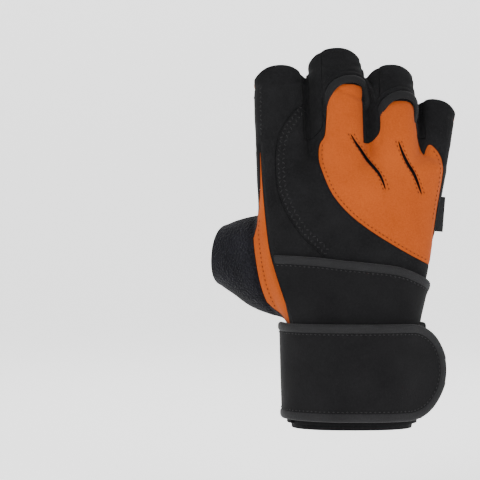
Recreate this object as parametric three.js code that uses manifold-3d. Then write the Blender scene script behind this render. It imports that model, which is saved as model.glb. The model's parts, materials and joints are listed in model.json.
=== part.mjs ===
// A right-hand weightlifting glove with a long wrist wrap, in the form that it has on a hand.
// +Z runs towards the fingers, -Y is the back of the hand, +Y the palm and -X the thumb side.
// The origin is the middle of the cuff's lower opening. Lengths are in millimetres.
import * as THREE from 'three';
import { mergeVertices } from 'three/addons/utils/BufferGeometryUtils.js';
import Module from 'manifold-3d';

const wasm = await Module();
wasm.setup();

// Hand: its breadth and depth over the cloth, and the height from the cuff's edge to the finger crotches.
const HAND_BREADTH = 100;
const HAND_DEPTH = 38;
const HAND_HEIGHT = 150;

// Wrist, over the inner cuff.
const WRIST_BREADTH = 68;
const WRIST_DEPTH = 44;
const CUFF_HEIGHT = 58;
const CUFF_TAPER = 0.955;

// Fingers: the middle finger's length above the crotches, and its width and depth at the mouth.
const FINGER_LENGTH = 50;
const FINGER_WIDTH = 28;
const FINGER_DEPTH = 23;
const KNUCKLE_DEPTH = 36;
const BAND_HEIGHT = 7;

// Thumb sleeve: its width and depth at the mouth.
const THUMB_WIDTH = 34;
const THUMB_DEPTH = 31;

// Cloth walls and what lies on them.
const WALL = 2;
const GAP = 0.3;
const PAD_HEIGHT = 2;
const TAB_THICKNESS = 2.4;
const TAG_THICKNESS = 1.6;

// Wrist wrap and strap.
const WRAP_THICKNESS = 2.2;
const WRAP_BOTTOM = 2.2;
const WRAP_TUCK = 6;
const STRAP_THICKNESS = 2.5;
const STRAP_HEIGHT = 51.3;
const STRAP_BOTTOM = 5.2;
const STRAP_DIP = 5;
const STRAP_FREE_LENGTH = 24;
const TAB_ROUNDING = 26;
const TAPE_WIDTH = 4.8;
const TAPE_THICKNESS = 1;

// Facets of the rounded forms.
const BODY_SIDES = 24;
const FINGER_SIDES = 14;
const SECTION_POWER = 2.4;
const REACH = 90;
const CORE = 17;
const LINE_REACH = 62;
const SLICE_REACH = 4;
const SLICE_STEPS = 4;
const LINE_STEP = 20;

// Turns rows of numbers into rows with named columns.
function table(names, rows) {
  const keys = names.split(' ');
  return rows.map((row) => Object.fromEntries(keys.map((key, i) => [key, row[i]])));
}

// The hand's sections: up is a share of HAND_HEIGHT, left and right of HAND_BREADTH, back and palm of
// HAND_DEPTH. lean raises the palm edge over the back edge, as a share of HAND_HEIGHT.
const HAND_SECTIONS = table('up left right back palm lean', [
  [0.46, -0.43, 0.373, -0.54, 0.62, 0],
  [0.57, -0.487, 0.417, -0.51, 0.645, 0],
  [0.68, -0.51, 0.442, -0.5, 0.62, 0],
  [0.78, -0.506, 0.468, -0.5, 0.55, 0],
  [0.89, -0.498, 0.492, -0.47, 0.5, 0],
  [0.955, -0.48, 0.49, -0.38, 0.46, 0.02],
  [0.995, -0.4, 0.4, -0.21, 0.33, 0.03],
]);

// The fingers: root and mouth across and out are shares of the hand's breadth and depth, rootUp of its height,
// length of FINGER_LENGTH, the widths of FINGER_WIDTH, rootDepth of KNUCKLE_DEPTH and depth of FINGER_DEPTH.
const FINGER_SHAPES = table('name rootAcross rootUp rootWidth rootDepth across out length width depth', [
  ['index', -0.35, 0.8, 1.107, 0.75, -0.393, 0.2, 0.814, 0.986, 1],
  ['middle', -0.055, 0.8, 1.214, 1, -0.089, 0.22, 0.99, 1.014, 1],
  ['ring', 0.225, 0.8, 1.071, 0.97, 0.208, 0.22, 0.806, 0.943, 0.957],
  ['little', 0.335, 0.7, 0.786, 0.62, 0.475, 0.45, 0.466, 0.821, 0.87],
]);

// How far each finger curls to the palm at its mouth, from which share of its length its sides are separate
// strips, and where its four seams lie: angles in degrees, from the little-finger side towards the palm.
const FINGER_TURNS = table('curl sideFrom ulnarBack ulnarPalm radialPalm radialBack', [
  [22, 0.34, -30, 45, 180, 182],
  [25, 0.32, -12, 58, 144, 238],
  [27, 0.34, -12, 68, 165, 243],
  [24, 0.58, -4, 0, 130, 230],
]);
const FINGERS = FINGER_SHAPES.map((shape, i) => ({ ...shape, ...FINGER_TURNS[i] }));

// The thumb sleeve: across, out and up are shares of the hand's sizes, width and depth of the thumb's own.
const THUMB_SECTIONS = table('across out up width depth', [
  [-0.26, 0.13, 0.573, 1.76, 1.1],
  [-0.43, 0.24, 0.59, 1.62, 1.065],
  [-0.555, 0.42, 0.607, 1.35, 1.03],
  [-0.67, 0.63, 0.617, 1, 1],
]);

// Where the palm side begins: radial and ulnar are its distance out, as shares of HAND_DEPTH, at each height.
const SIDE_SEAM = table('up radial ulnar', [
  [-0.1, 0, 0],
  [0.8, 0, 0.02],
  [0.91, 0, 0.09],
  [1.03, 0.01, 0.25],
  [1.13, 0.055, 0.41],
  [1.21, 0.115, 0.53],
  [1.27, 0.2, 0.63],
  [1.45, 0.42, 0.84],
]);

// The wrap's upper edge: a share of HAND_HEIGHT at each angle about the wrist, from +X towards the palm.
const WRAP_EDGE = table('angle up', [
  [-152, 0.36],
  [-150, 0.618],
  [-128, 0.615],
  [-110, 0.609],
  [-90, 0.594],
  [-60, 0.575],
  [-35, 0.545],
  [0, 0.512],
  [35, 0.475],
  [60, 0.452],
  [90, 0.418],
  [120, 0.397],
  [145, 0.377],
  [180, 0.36],
  [208, 0.36],
]);

// Outlines seen from the back or the palm: across is a share of HAND_BREADTH, up of HAND_HEIGHT.
const BACK_PANEL = table('across up', [
  [-0.2, 1.226], [-0.21, 1.06], [-0.194, 1.006], [-0.184, 0.953], [-0.158, 0.9], [-0.126, 0.847],
  [-0.084, 0.805], [-0.02, 0.759], [0.06, 0.717], [0.139, 0.682], [0.245, 0.64], [0.324, 0.611], [0.47, 0.565],
  [0.46, 0.6], [0.432, 0.68], [0.445, 0.742], [0.461, 0.814], [0.483, 0.885], [0.491, 0.928], [0.483, 0.964],
  [0.467, 0.985], [0.44, 1.007], [0.4, 1.02], [0.36, 1.02], [0.36, 1.165], [0.09, 1.165], [0.09, 1.226],
]);
const SLIT_MIDDLE = table('across up', [
  [-0.015, 1.049], [0.012, 1.017], [0.044, 0.989], [0.091, 0.943], [0.144, 0.9], [0.17, 0.847],
]);
const SLIT_RING = table('across up', [
  [0.24, 1.024], [0.256, 0.989], [0.287, 0.943], [0.324, 0.908], [0.366, 0.83],
]);
const SLIT_WIDTH = 1.3;
const CENTRE_BACK = table('across up', [
  [-0.284, 1.155], [-0.337, 1.112], [-0.39, 1.059], [-0.412, 0.989], [-0.412, 0.918], [-0.401, 0.847],
  [-0.37, 0.788], [-0.327, 0.735], [-0.269, 0.682], [-0.211, 0.647], [-0.152, 0.608], [-0.05, 0.53], [-0.05, 0.4],
  [0.6, 0.4], [0.6, 0.6], [0.3, 0.7], [0, 0.85], [-0.12, 1], [-0.17, 1.155],
]);
const RADIAL_STRIP = table('across up', [
  [-0.511, 1.035], [-0.53, 0.92], [-0.53, 0.75], [-0.533, 0.739], [-0.533, 0.671], [-0.517, 0.582],
  [-0.49, 0.493], [-0.442, 0.422], [-0.383, 0.386], [-0.36, 0.3], [-0.26, 0.3], [-0.325, 0.387], [-0.352, 0.431],
  [-0.389, 0.502], [-0.422, 0.573], [-0.448, 0.636], [-0.464, 0.724], [-0.474, 0.795], [-0.485, 0.884],
]);
const THUMB_BACK = table('across up', [
  [-0.506, 0.752], [-0.533, 0.739], [-0.533, 0.671], [-0.517, 0.582], [-0.49, 0.493], [-0.442, 0.422],
  [-0.383, 0.386], [-0.36, 0.3], [-1, 0.3], [-1, 0.9], [-0.56, 0.9],
]);
const THUMB_PALM = table('across up', [
  [-0.62, 0.88], [-0.5, 0.852], [-0.42, 0.842], [-0.359, 0.837], [-0.316, 0.826], [-0.28, 0.802], [-0.247, 0.769],
  [-0.227, 0.745], [-0.247, 0.706], [-0.28, 0.671], [-0.316, 0.651], [-0.348, 0.615], [-0.39, 0.573],
  [-0.448, 0.517], [-0.36, 0.46], [-0.32, 0.39], [-0.31, 0.3], [-1, 0.3], [-1, 0.88],
]);
const HEEL_TRIM = table('across up', [
  [0.179, 0.445], [0.089, 0.451], [-0.069, 0.447], [-0.201, 0.442], [-0.232, 0.438], [-0.247, 0.418],
  [-0.274, 0.399], [-0.306, 0.387], [-0.308, 0.3], [0.179, 0.3],
]);
const HEEL_TRIM_SIDE = table('across up', [
  [-0.234, 0.441], [-0.269, 0.44], [-0.285, 0.451], [-0.316, 0.471], [-0.369, 0.495], [-0.411, 0.508],
  [-0.448, 0.515], [-0.501, 0.493], [-0.48, 0.482], [-0.427, 0.46], [-0.374, 0.429], [-0.343, 0.408],
  [-0.326, 0.387], [-0.318, 0.3], [-0.31, 0.3], [-0.308, 0.387], [-0.276, 0.401], [-0.249, 0.42],
]);
const ULNAR_STRIPE = table('across up', [
  [0.6, 1.14], [0.564, 1.099], [0.542, 1.053], [0.526, 1.007], [0.505, 0.956], [0.473, 0.885], [0.462, 0.831],
  [0.446, 0.76], [0.43, 0.689], [0.419, 0.635], [0.409, 0.593], [0.393, 0.546], [0.383, 0.511], [0.361, 0.47],
  [0.27, 0.44], [0.277, 0.466], [0.314, 0.487], [0.346, 0.529], [0.372, 0.582], [0.394, 0.636], [0.405, 0.689],
  [0.414, 0.75], [0.431, 0.831], [0.452, 0.895], [0.468, 0.955], [0.489, 1.026], [0.51, 1.075], [0.53, 1.14],
]);
const PALM_PANEL = table('across up', [
  [0.277, 0.466], [0.314, 0.487], [0.346, 0.529], [0.372, 0.582], [0.394, 0.636], [0.405, 0.689], [0.414, 0.75],
  [0.431, 0.831], [0.452, 0.895], [0.468, 0.955], [0.489, 1.026], [0.51, 1.075], [0.6, 1.16], [0.6, 1.6],
  [-0.8, 1.6], [-0.8, 0.3], [0.277, 0.3],
]);
const BAR_PAD = table('across up', [
  [0.299, 0.952], [0.179, 0.984], [0.089, 0.998], [-0.08, 1.01], [-0.185, 1.012], [-0.28, 1.006], [-0.369, 1.002],
  [-0.396, 0.987], [-0.359, 0.966], [-0.227, 0.952], [-0.043, 0.931], [0.089, 0.921], [0.299, 0.917],
  [0.312, 0.935],
]);
const CURVE_PAD = table('across up', [
  [0.247, 0.84], [0.115, 0.857], [-0.122, 0.889], [-0.332, 0.912], [-0.405, 0.914], [-0.415, 0.9], [-0.359, 0.875],
  [-0.306, 0.861], [-0.227, 0.84], [-0.174, 0.815], [-0.122, 0.784], [-0.058, 0.741], [-0.006, 0.706],
  [0.036, 0.671], [0.079, 0.633], [0.132, 0.58], [0.184, 0.541], [0.2, 0.573], [0.218, 0.61], [0.216, 0.661],
  [0.194, 0.679], [0.142, 0.703], [0.089, 0.724], [0.036, 0.752], [-0.016, 0.78], [-0.011, 0.811], [0.036, 0.811],
  [0.115, 0.798], [0.231, 0.776], [0.265, 0.79], [0.265, 0.825],
]);
const THUMB_PAD = table('across up', [
  [-0.216, 0.734], [-0.174, 0.721], [-0.122, 0.675], [-0.08, 0.644], [-0.048, 0.612], [-0.032, 0.58],
  [-0.043, 0.556], [-0.095, 0.548], [-0.164, 0.556], [-0.206, 0.58], [-0.232, 0.612], [-0.262, 0.66],
  [-0.238, 0.7],
]);
const MIDDLE_TAB = table('across up', [
  [-0.172, 1.15], [-0.166, 1.196], [-0.145, 1.229], [-0.097, 1.251], [-0.043, 1.256], [0.01, 1.253], [0.052, 1.238],
  [0.079, 1.211], [0.085, 1.185], [0.074, 1.158], [0.058, 1.129], [0.047, 1.175], [0.036, 1.196], [0.015, 1.207],
  [-0.017, 1.218], [-0.059, 1.221], [-0.107, 1.211], [-0.134, 1.185], [-0.156, 1.158],
]);
const RING_TAB = table('across up', [
  [0.127, 1.107], [0.132, 1.15], [0.164, 1.178], [0.207, 1.193], [0.249, 1.196], [0.291, 1.189], [0.329, 1.175],
  [0.351, 1.15], [0.351, 1.122], [0.334, 1.09], [0.324, 1.104], [0.313, 1.136], [0.291, 1.15], [0.26, 1.159],
  [0.222, 1.156], [0.196, 1.147], [0.164, 1.132], [0.143, 1.114],
]);
const SIDE_TAG = table('across up', [[0.4, 0.83], [0.512, 0.826], [0.497, 0.7], [0.4, 0.704]]);

const radians = THREE.MathUtils.degToRad;

// Reads a column of a table at a position between two rows.
function lookUp(rows, key, at, column) {
  const i = Math.max(1, rows.findIndex((row) => row[key] >= at));
  const low = rows[i - 1];
  const high = rows[i];
  return THREE.MathUtils.mapLinear(at, low[key], high[key], low[column], high[column]);
}

// A number raised to a power with its sign kept, which rounds a rectangle's corners.
const signedPower = (value, power) => Math.sign(value) * Math.abs(value) ** (2 / power);

// A closed solid from a three.js geometry.
function toSolid(geometry) {
  const bare = geometry.clone();
  bare.deleteAttribute('normal');
  bare.deleteAttribute('uv');
  const merged = mergeVertices(bare, 1e-4);
  return new wasm.Manifold(new wasm.Mesh({
    numProp: 3,
    vertProperties: new Float32Array(merged.attributes.position.array),
    triVerts: new Uint32Array(merged.index.array),
  }));
}

// A closed solid lofted through rings of equally many points, with a flat fan on each end.
function loft(rings) {
  const count = rings[0].length;
  const middle = (ring) => ring.reduce((sum, p) => sum.add(p), new THREE.Vector3()).divideScalar(count);
  const points = [...rings.flat(), middle(rings[0]), middle(rings[rings.length - 1])];
  const faces = [];
  const start = count * rings.length;
  for (let i = 0; i < count; i += 1) {
    const next = (i + 1) % count;
    for (let r = 0; r < rings.length - 1; r += 1) {
      const a = r * count;
      const b = a + count;
      faces.push(a + i, a + next, b + next, a + i, b + next, b + i);
    }
    faces.push(start, next, i);
    faces.push(start + 1, start - count + i, start - count + next);
  }
  const volume = (list) => {
    let sum = 0;
    for (let i = 0; i < list.length; i += 3) {
      const [p, q, s] = [points[list[i]], points[list[i + 1]], points[list[i + 2]]];
      sum += p.dot(new THREE.Vector3().crossVectors(q, s));
    }
    return sum;
  };
  if (volume(faces) < 0) faces.reverse();
  const geometry = new THREE.BufferGeometry().setFromPoints(points);
  geometry.setIndex(faces);
  return toSolid(geometry);
}

// A ring of points about a middle, with its two axes; low and high are the depths on either side.
function ring(middle, across, out, width, low, high, sides) {
  return Array.from({ length: sides }, (_, i) => {
    const angle = (i / sides) * 2 * Math.PI;
    const depth = Math.sin(angle) < 0 ? low : high;
    return middle.clone()
      .addScaledVector(across, width * signedPower(Math.cos(angle), SECTION_POWER))
      .addScaledVector(out, depth * signedPower(Math.sin(angle), SECTION_POWER));
  });
}

const AXIS_X = new THREE.Vector3(1, 0, 0);
const AXIS_Y = new THREE.Vector3(0, 1, 0);
const AXIS_Z = new THREE.Vector3(0, 0, 1);

// The cuff's half sizes at a height, which taper towards its lower edge.
function cuffSize(z) {
  const share = THREE.MathUtils.lerp(CUFF_TAPER, 1, THREE.MathUtils.clamp(z / CUFF_HEIGHT, 0, 1));
  return { across: (share * WRIST_BREADTH) / 2, out: (share * WRIST_DEPTH) / 2 };
}

// The cuff and hand without fingers, grown by a thickness; below is how far it runs past the cuff's edge.
function bodyForm(grow, below) {
  const cuffRing = (z) => {
    const { across, out } = cuffSize(z);
    return ring(new THREE.Vector3(0, 0, z), AXIS_X, AXIS_Y, across + grow, out + grow, out + grow, BODY_SIDES);
  };
  const handRing = ({ up, left, right, back, palm, lean }, lift) => ring(
    new THREE.Vector3(((left + right) / 2) * HAND_BREADTH, 0, up * HAND_HEIGHT + lift),
    AXIS_X,
    new THREE.Vector3(0, 1, (lean * HAND_HEIGHT) / (palm * HAND_DEPTH)),
    ((right - left) / 2) * HAND_BREADTH + grow,
    -back * HAND_DEPTH + grow,
    palm * HAND_DEPTH + grow,
    BODY_SIDES,
  );
  const last = HAND_SECTIONS.length - 1;
  return loft([
    cuffRing(-below),
    cuffRing(CUFF_HEIGHT / 2),
    cuffRing(CUFF_HEIGHT),
    ...HAND_SECTIONS.map((row, i) => handRing(row, i === last ? grow : 0)),
  ]);
}

// The middle line of a finger, which curls towards the palm at its mouth.
function fingerCurve(finger) {
  const root = new THREE.Vector3(finger.rootAcross * HAND_BREADTH, 0, finger.rootUp * HAND_HEIGHT);
  const mouth = new THREE.Vector3(
    finger.across * HAND_BREADTH,
    finger.out * HAND_DEPTH,
    HAND_HEIGHT + finger.length * FINGER_LENGTH,
  );
  const drop = mouth.y / Math.tan(radians(finger.curl));
  const share = (mouth.z - drop - root.z) / (mouth.z - root.z);
  const knee = new THREE.Vector3(THREE.MathUtils.lerp(root.x, mouth.x, share), root.y, mouth.z - drop);
  return new THREE.QuadraticBezierCurve3(root, knee, mouth);
}

// The frame of a finger at a share of its length: middle, axes and half sizes. Past 1 it runs on straight.
function fingerFrame(finger, at) {
  const curve = fingerCurve(finger);
  const inside = THREE.MathUtils.clamp(at, 0, 1);
  const along = curve.getTangent(inside);
  const middle = curve.getPoint(inside).addScaledVector(along, (at - inside) * curve.getLength());
  const across = AXIS_X.clone().addScaledVector(along, -along.x).normalize();
  const out = new THREE.Vector3().crossVectors(along, across);
  const width = THREE.MathUtils.lerp(finger.rootWidth, finger.width, inside) * FINGER_WIDTH / 2;
  const atRoot = finger.rootDepth * KNUCKLE_DEPTH;
  const depth = THREE.MathUtils.lerp(atRoot, finger.depth * FINGER_DEPTH, inside) / 2;
  return { middle, across, out, width, depth };
}

// How many millimetres a finger's curve runs per whole share, at a share of it.
function curveSpeed(curve, at) {
  const first = curve.v1.clone().sub(curve.v0);
  const last = curve.v2.clone().sub(curve.v1);
  return 2 * first.lerp(last, at).length();
}

const FINGER_STATIONS = [0, 0.4, 0.7, 1];

// A finger tube, grown by a thickness; past is how far it runs beyond its mouth.
function fingerForm(finger, grow, past) {
  const length = fingerCurve(finger).getLength();
  const stations = past > 0 ? [...FINGER_STATIONS, 1 + past / length] : FINGER_STATIONS;
  return loft(stations.map((at) => {
    const { middle, across, out, width, depth } = fingerFrame(finger, at);
    return ring(middle, across, out, width + grow, depth + grow, depth + grow, FINGER_SIDES);
  }));
}

// The thumb sleeve's form, grown by a thickness; past is how far it runs beyond its mouth.
function thumbForm(grow, past) {
  const middles = THUMB_SECTIONS.map((row) => new THREE.Vector3(
    row.across * HAND_BREADTH,
    row.out * HAND_DEPTH,
    row.up * HAND_HEIGHT,
  ));
  const section = (i, extra) => {
    const before = middles[Math.max(0, i - 1)];
    const after = middles[Math.min(middles.length - 1, i + 1)];
    const along = after.clone().sub(before).normalize();
    const upward = AXIS_Z.clone().addScaledVector(along, -along.z).normalize();
    const out = new THREE.Vector3().crossVectors(upward, along);
    const middle = middles[i].clone().addScaledVector(along, extra);
    const half = (THUMB_SECTIONS[i].depth * THUMB_DEPTH) / 2 + grow;
    return ring(middle, upward, out, (THUMB_SECTIONS[i].width * THUMB_WIDTH) / 2 + grow, half, half, FINGER_SIDES);
  };
  const rings = THUMB_SECTIONS.map((_, i) => section(i, 0));
  if (past > 0) rings.push(section(THUMB_SECTIONS.length - 1, past));
  return loft(rings);
}

const join = (solids) => solids.reduce((sum, solid) => sum.add(solid));

// The whole hand form, grown by a thickness.
const handForm = (grow, past = 0) => join([
  bodyForm(grow, past),
  thumbForm(grow, past),
  ...FINGERS.map((finger) => fingerForm(finger, grow, past)),
]);

// An outline in millimetres, grown by a distance along its corner normals.
function outline(rows, grow = 0) {
  const points = rows.map(({ across, up }) => new THREE.Vector2(across * HAND_BREADTH, up * HAND_HEIGHT));
  if (THREE.ShapeUtils.area(points) < 0) points.reverse();
  if (grow === 0) return points;
  return points.map((point, i) => {
    const before = points[(i + points.length - 1) % points.length];
    const after = points[(i + 1) % points.length];
    const first = point.clone().sub(before).normalize();
    const second = after.clone().sub(point).normalize();
    const normal = new THREE.Vector2(first.y + second.y, -first.x - second.x).normalize();
    const miter = 1 / Math.max(0.5, normal.dot(new THREE.Vector2(first.y, -first.x)));
    return point.clone().addScaledVector(normal, grow * miter);
  });
}

// A solid with an outline seen along Y, between two depths.
function prism(points, from, to) {
  const geometry = new THREE.ExtrudeGeometry(new THREE.Shape(points), { depth: to - from, bevelEnabled: false });
  geometry.rotateX(Math.PI / 2);
  geometry.translate(0, to, 0);
  return toSolid(geometry);
}

const backPrism = (rows, grow = 0) => prism(outline(rows, grow), -REACH, grow);
const palmPrism = (rows, grow = 0) => prism(outline(rows, grow), -grow, REACH);

// A narrow outline that follows a line, tapering to a point at both ends.
function slit(rows, width) {
  const line = rows.map(({ across, up }) => new THREE.Vector2(across * HAND_BREADTH, up * HAND_HEIGHT));
  const curve = new THREE.SplineCurve(line);
  const steps = 10;
  const side = (sign) => Array.from({ length: steps - 1 }, (_, i) => {
    const at = (i + 1) / steps;
    const along = curve.getTangent(at);
    const half = (width / 2) * Math.sin(at * Math.PI) ** 0.5;
    return curve.getPoint(at).add(new THREE.Vector2(-along.y, along.x).multiplyScalar(sign * half));
  });
  return [line[0], ...side(1), line[line.length - 1], ...side(-1).reverse()];
}

// Where the side seam changes from its radial to its ulnar height, as shares of HAND_BREADTH.
const SEAM_RISES_FROM = 0.34;
const SEAM_RISES_TO = 0.42;

// Everything on the palm side of the side seams, moved out by a distance.
const palmHalf = (shift) => loft(SIDE_SEAM.map(({ up, radial, ulnar }) => {
  const z = up * HAND_HEIGHT;
  const near = radial * HAND_DEPTH + shift;
  const far = ulnar * HAND_DEPTH + shift;
  return [
    new THREE.Vector3(-REACH, near, z),
    new THREE.Vector3(SEAM_RISES_FROM * HAND_BREADTH, near, z),
    new THREE.Vector3(SEAM_RISES_TO * HAND_BREADTH, far, z),
    new THREE.Vector3(REACH, far, z),
    new THREE.Vector3(REACH, REACH, z),
    new THREE.Vector3(-REACH, REACH, z),
  ];
}));

// A pie slice along a finger, between two seam angles and two shares of its length, grown by a distance.
function slice(finger, from, to, first, last, grow = 0) {
  const low = first - grow / curveSpeed(fingerCurve(finger), first);
  const inner = FINGER_STATIONS.filter((at) => at > first + 0.02 && at < last - 0.02);
  return loft([low, ...inner, last].map((at) => {
    const { middle, across, out, width, depth } = fingerFrame(finger, at);
    const wide = (grow / depth);
    const arc = Array.from({ length: SLICE_STEPS + 1 }, (_, i) => {
      const angle = THREE.MathUtils.lerp(radians(from) - wide, radians(to) + wide, i / SLICE_STEPS);
      return middle.clone()
        .addScaledVector(across, (width + SLICE_REACH + grow) * signedPower(Math.cos(angle), SECTION_POWER))
        .addScaledVector(out, (depth + SLICE_REACH + grow) * signedPower(Math.sin(angle), SECTION_POWER));
    });
    return [middle.clone(), ...arc];
  }));
}

// Everything below a line that changes height with the angle about the wrist, down to a base.
function belowLine(heightAt, base) {
  const turn = [WRAP_EDGE[0].angle];
  for (let angle = WRAP_EDGE[1].angle; angle < WRAP_EDGE[0].angle + 360; angle += LINE_STEP) turn.push(angle);
  const circle = (radius, z) => turn.map((angle) => new THREE.Vector3(
    radius * Math.cos(radians(angle)),
    radius * Math.sin(radians(angle)),
    z(angle),
  ));
  return loft([circle(LINE_REACH, () => base), circle(LINE_REACH, heightAt), circle(CORE, heightAt)]);
}

const wrapTop = (shift) => (angle) => lookUp(WRAP_EDGE, 'angle', angle, 'up') * HAND_HEIGHT + shift;
const strapShift = (angle) => -STRAP_DIP * Math.max(0, Math.sin(angle)) ** 2;

// The largest body of a solid, which drops crumbs left by a cut.
function largest(solid) {
  return solid.decompose().reduce((best, part) => (part.volume() > best.volume() ? part : best));
}

// The strap's path about the wrist: one turn, then over its own start, then straight on to its free end.
const STRAP_STEP = 360 / BODY_SIDES;
const STRAP_START = -4 * STRAP_STEP;
const STRAP_LIFT = 205;
const STRAP_LIFTED = 282;
const STRAP_LEAVES = 21 * STRAP_STEP;
const STRAP_CLEAR = GAP + WRAP_THICKNESS + GAP + STRAP_THICKNESS / 2;

// Where the strap's free end is sampled, as shares of its length, and how far its tip is cut off square.
const TIP_STATIONS = [0, 0.3, 0.55, 0.75, 0.88, 0.96, 0.99];
const TIP_BLUNT = 0.3;

function strapPoint(angle, z, offset) {
  const { across, out } = cuffSize(z);
  const turn = radians(angle);
  const rise = THREE.MathUtils.smoothstep(angle, STRAP_LIFT, STRAP_LIFTED) * (STRAP_THICKNESS + GAP);
  const clear = STRAP_CLEAR + rise + offset;
  return new THREE.Vector3(
    (across + clear) * signedPower(Math.cos(turn), SECTION_POWER),
    (out + clear) * signedPower(Math.sin(turn), SECTION_POWER),
    z,
  );
}

// A band along the strap's path: its offset from the strap's middle, its thickness, and how far it is inset.
function strapBand(fromAngle, offset, thickness, inset) {
  const angles = [];
  for (let angle = fromAngle; angle < STRAP_LEAVES; angle += STRAP_STEP) angles.push(angle);
  angles.push(STRAP_LEAVES);
  const middleHeight = STRAP_BOTTOM + STRAP_HEIGHT / 2;
  const section = (angle, past, half) => {
    const dip = strapShift(radians(angle));
    const corners = [[-1, -1], [1, -1], [1, 1], [-1, 1]];
    const tangentAt = (z) => strapPoint(angle + 1, z, 0).sub(strapPoint(angle - 1, z, 0)).normalize();
    return corners.map(([side, end]) => {
      const z = middleHeight + end * half + dip;
      return strapPoint(angle, z, offset + (side * thickness) / 2).addScaledVector(tangentAt(z), past);
    });
  };
  const full = STRAP_HEIGHT / 2;
  const reach = STRAP_FREE_LENGTH - inset;
  const rounded = (distance) => {
    const share = 1 - Math.min(1, distance / TAB_ROUNDING);
    return (full - inset) * Math.sqrt(Math.max(0, 1 - share * share));
  };
  const body = angles.slice(0, -1).map((angle) => section(angle, 0, full - inset));
  const end = TIP_STATIONS.map((share) => {
    const half = rounded((1 - share) * reach + TIP_BLUNT);
    return section(STRAP_LEAVES, share * reach, half);
  });
  return loft([...body, ...end]);
}

// The glove's wall, cut into its panels.
const SHELL = handForm(0).subtract(handForm(-WALL, 2 * WALL));
const byName = (name) => FINGERS.find((finger) => finger.name === name);
const index = byName('index');
const middle = byName('middle');
const ringFinger = byName('ring');
const little = byName('little');

const HAND_WALL = SHELL.subtract(belowLine(wrapTop(-WRAP_TUCK), -REACH));
const PALM_SIDE = palmHalf(0);
const BACK_SIDE = palmHalf(-GAP);
const FRONT = HAND_WALL.intersect(PALM_SIDE);
const BACK = HAND_WALL.subtract(BACK_SIDE);

// The strips between two neighbouring fingers, joined at the crotch.
const PAST_MOUTH = 1.1;
const crotch = (radial, ulnar, grow) => join([
  slice(radial, radial.ulnarBack, radial.ulnarPalm, radial.sideFrom, PAST_MOUTH, grow),
  slice(ulnar, ulnar.radialPalm, ulnar.radialBack, ulnar.sideFrom, PAST_MOUTH, grow),
]);
const SIDES = [[index, middle], [middle, ringFinger], [ringFinger, little]];
const sideCuts = join(SIDES.map(([radial, ulnar]) => crotch(radial, ulnar, GAP)));

// The bands at the finger mouths, between the palm seams.
function bandSlice(finger, grow) {
  const share = 1 - BAND_HEIGHT / curveSpeed(fingerCurve(finger), 1);
  return slice(finger, finger.ulnarPalm, finger.radialPalm, share, PAST_MOUTH, grow);
}
const bandCuts = join(FINGERS.map((finger) => bandSlice(finger, GAP)));

const trimCuts = palmPrism(HEEL_TRIM, GAP).add(palmPrism(HEEL_TRIM_SIDE, GAP));
const thumbRegion = (grow) => palmPrism(THUMB_PALM, grow).add(backPrism(THUMB_BACK, grow));
const slits = prism(slit(SLIT_MIDDLE, SLIT_WIDTH), -REACH, 0).add(prism(slit(SLIT_RING, SLIT_WIDTH), -REACH, 0));

const palmPanel = FRONT.intersect(palmPrism(PALM_PANEL))
  .subtract(sideCuts)
  .subtract(bandCuts)
  .subtract(trimCuts)
  .subtract(thumbRegion(GAP));
const backPanel = BACK.intersect(backPrism(BACK_PANEL)).subtract(sideCuts).subtract(slits);
const radialStrip = BACK.intersect(backPrism(RADIAL_STRIP)).subtract(thumbRegion(GAP));
const centreBack = BACK.intersect(backPrism(CENTRE_BACK)).subtract(sideCuts).subtract(backPrism(BACK_PANEL, GAP));
const stripe = FRONT.intersect(palmPrism(ULNAR_STRIPE)).subtract(bandCuts).subtract(palmPrism(PALM_PANEL, GAP));
const thumbSleeve = HAND_WALL.intersect(thumbRegion(0)).subtract(trimCuts);

// What is left of the back falls apart into the finger backs, the index side and the little-finger edge.
const backRest = HAND_WALL.subtract(sideCuts)
  .subtract(bandCuts)
  .subtract(backPrism(BACK_PANEL, GAP))
  .subtract(backPrism(CENTRE_BACK, GAP))
  .subtract(backPrism(RADIAL_STRIP, GAP))
  .subtract(thumbRegion(GAP))
  .subtract(palmPrism(PALM_PANEL, GAP).intersect(palmHalf(-GAP)))
  .subtract(palmPrism(ULNAR_STRIPE, GAP).intersect(palmHalf(-GAP)))
  .subtract(trimCuts);
const between = (left, right, low) => prism(
  [
    new THREE.Vector2(left * HAND_BREADTH, low * HAND_HEIGHT),
    new THREE.Vector2(right * HAND_BREADTH, low * HAND_HEIGHT),
    new THREE.Vector2(right * HAND_BREADTH, 2 * HAND_HEIGHT),
    new THREE.Vector2(left * HAND_BREADTH, 2 * HAND_HEIGHT),
  ],
  -REACH,
  REACH,
);

// A layer of cloth lying on the hand form, a thickness thick.
const layer = (lift, thickness, form = handForm) => form(lift + thickness, 0).subtract(form(lift, GAP));

// The wrap about the wrist, its start cut along the thumb-side strip.
const wrapStart = table('across up', [
  [-0.325, 0.38], [-0.352, 0.431], [-0.389, 0.502], [-0.422, 0.573], [-0.448, 0.636], [-0.46, 0.75], [-0.9, 0.75],
  [-0.9, 0.38],
]);
const wrapRegion = (shift) => belowLine(wrapTop(shift), WRAP_BOTTOM).subtract(backPrism(wrapStart, GAP));
const wrapLayer = layer(GAP, WRAP_THICKNESS, bodyForm).intersect(wrapRegion(0)).subtract(thumbForm(GAP, 0));
const strapTop = (angle) => STRAP_BOTTOM + STRAP_HEIGHT + strapShift(radians(angle)) + GAP;
const wrapTape = layer(2 * GAP + WRAP_THICKNESS, TAPE_THICKNESS, bodyForm)
  .intersect(wrapRegion(0))
  .subtract(belowLine(wrapTop(-TAPE_WIDTH), -REACH))
  .subtract(belowLine(strapTop, -REACH))
  .subtract(thumbForm(GAP, 0));
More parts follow.
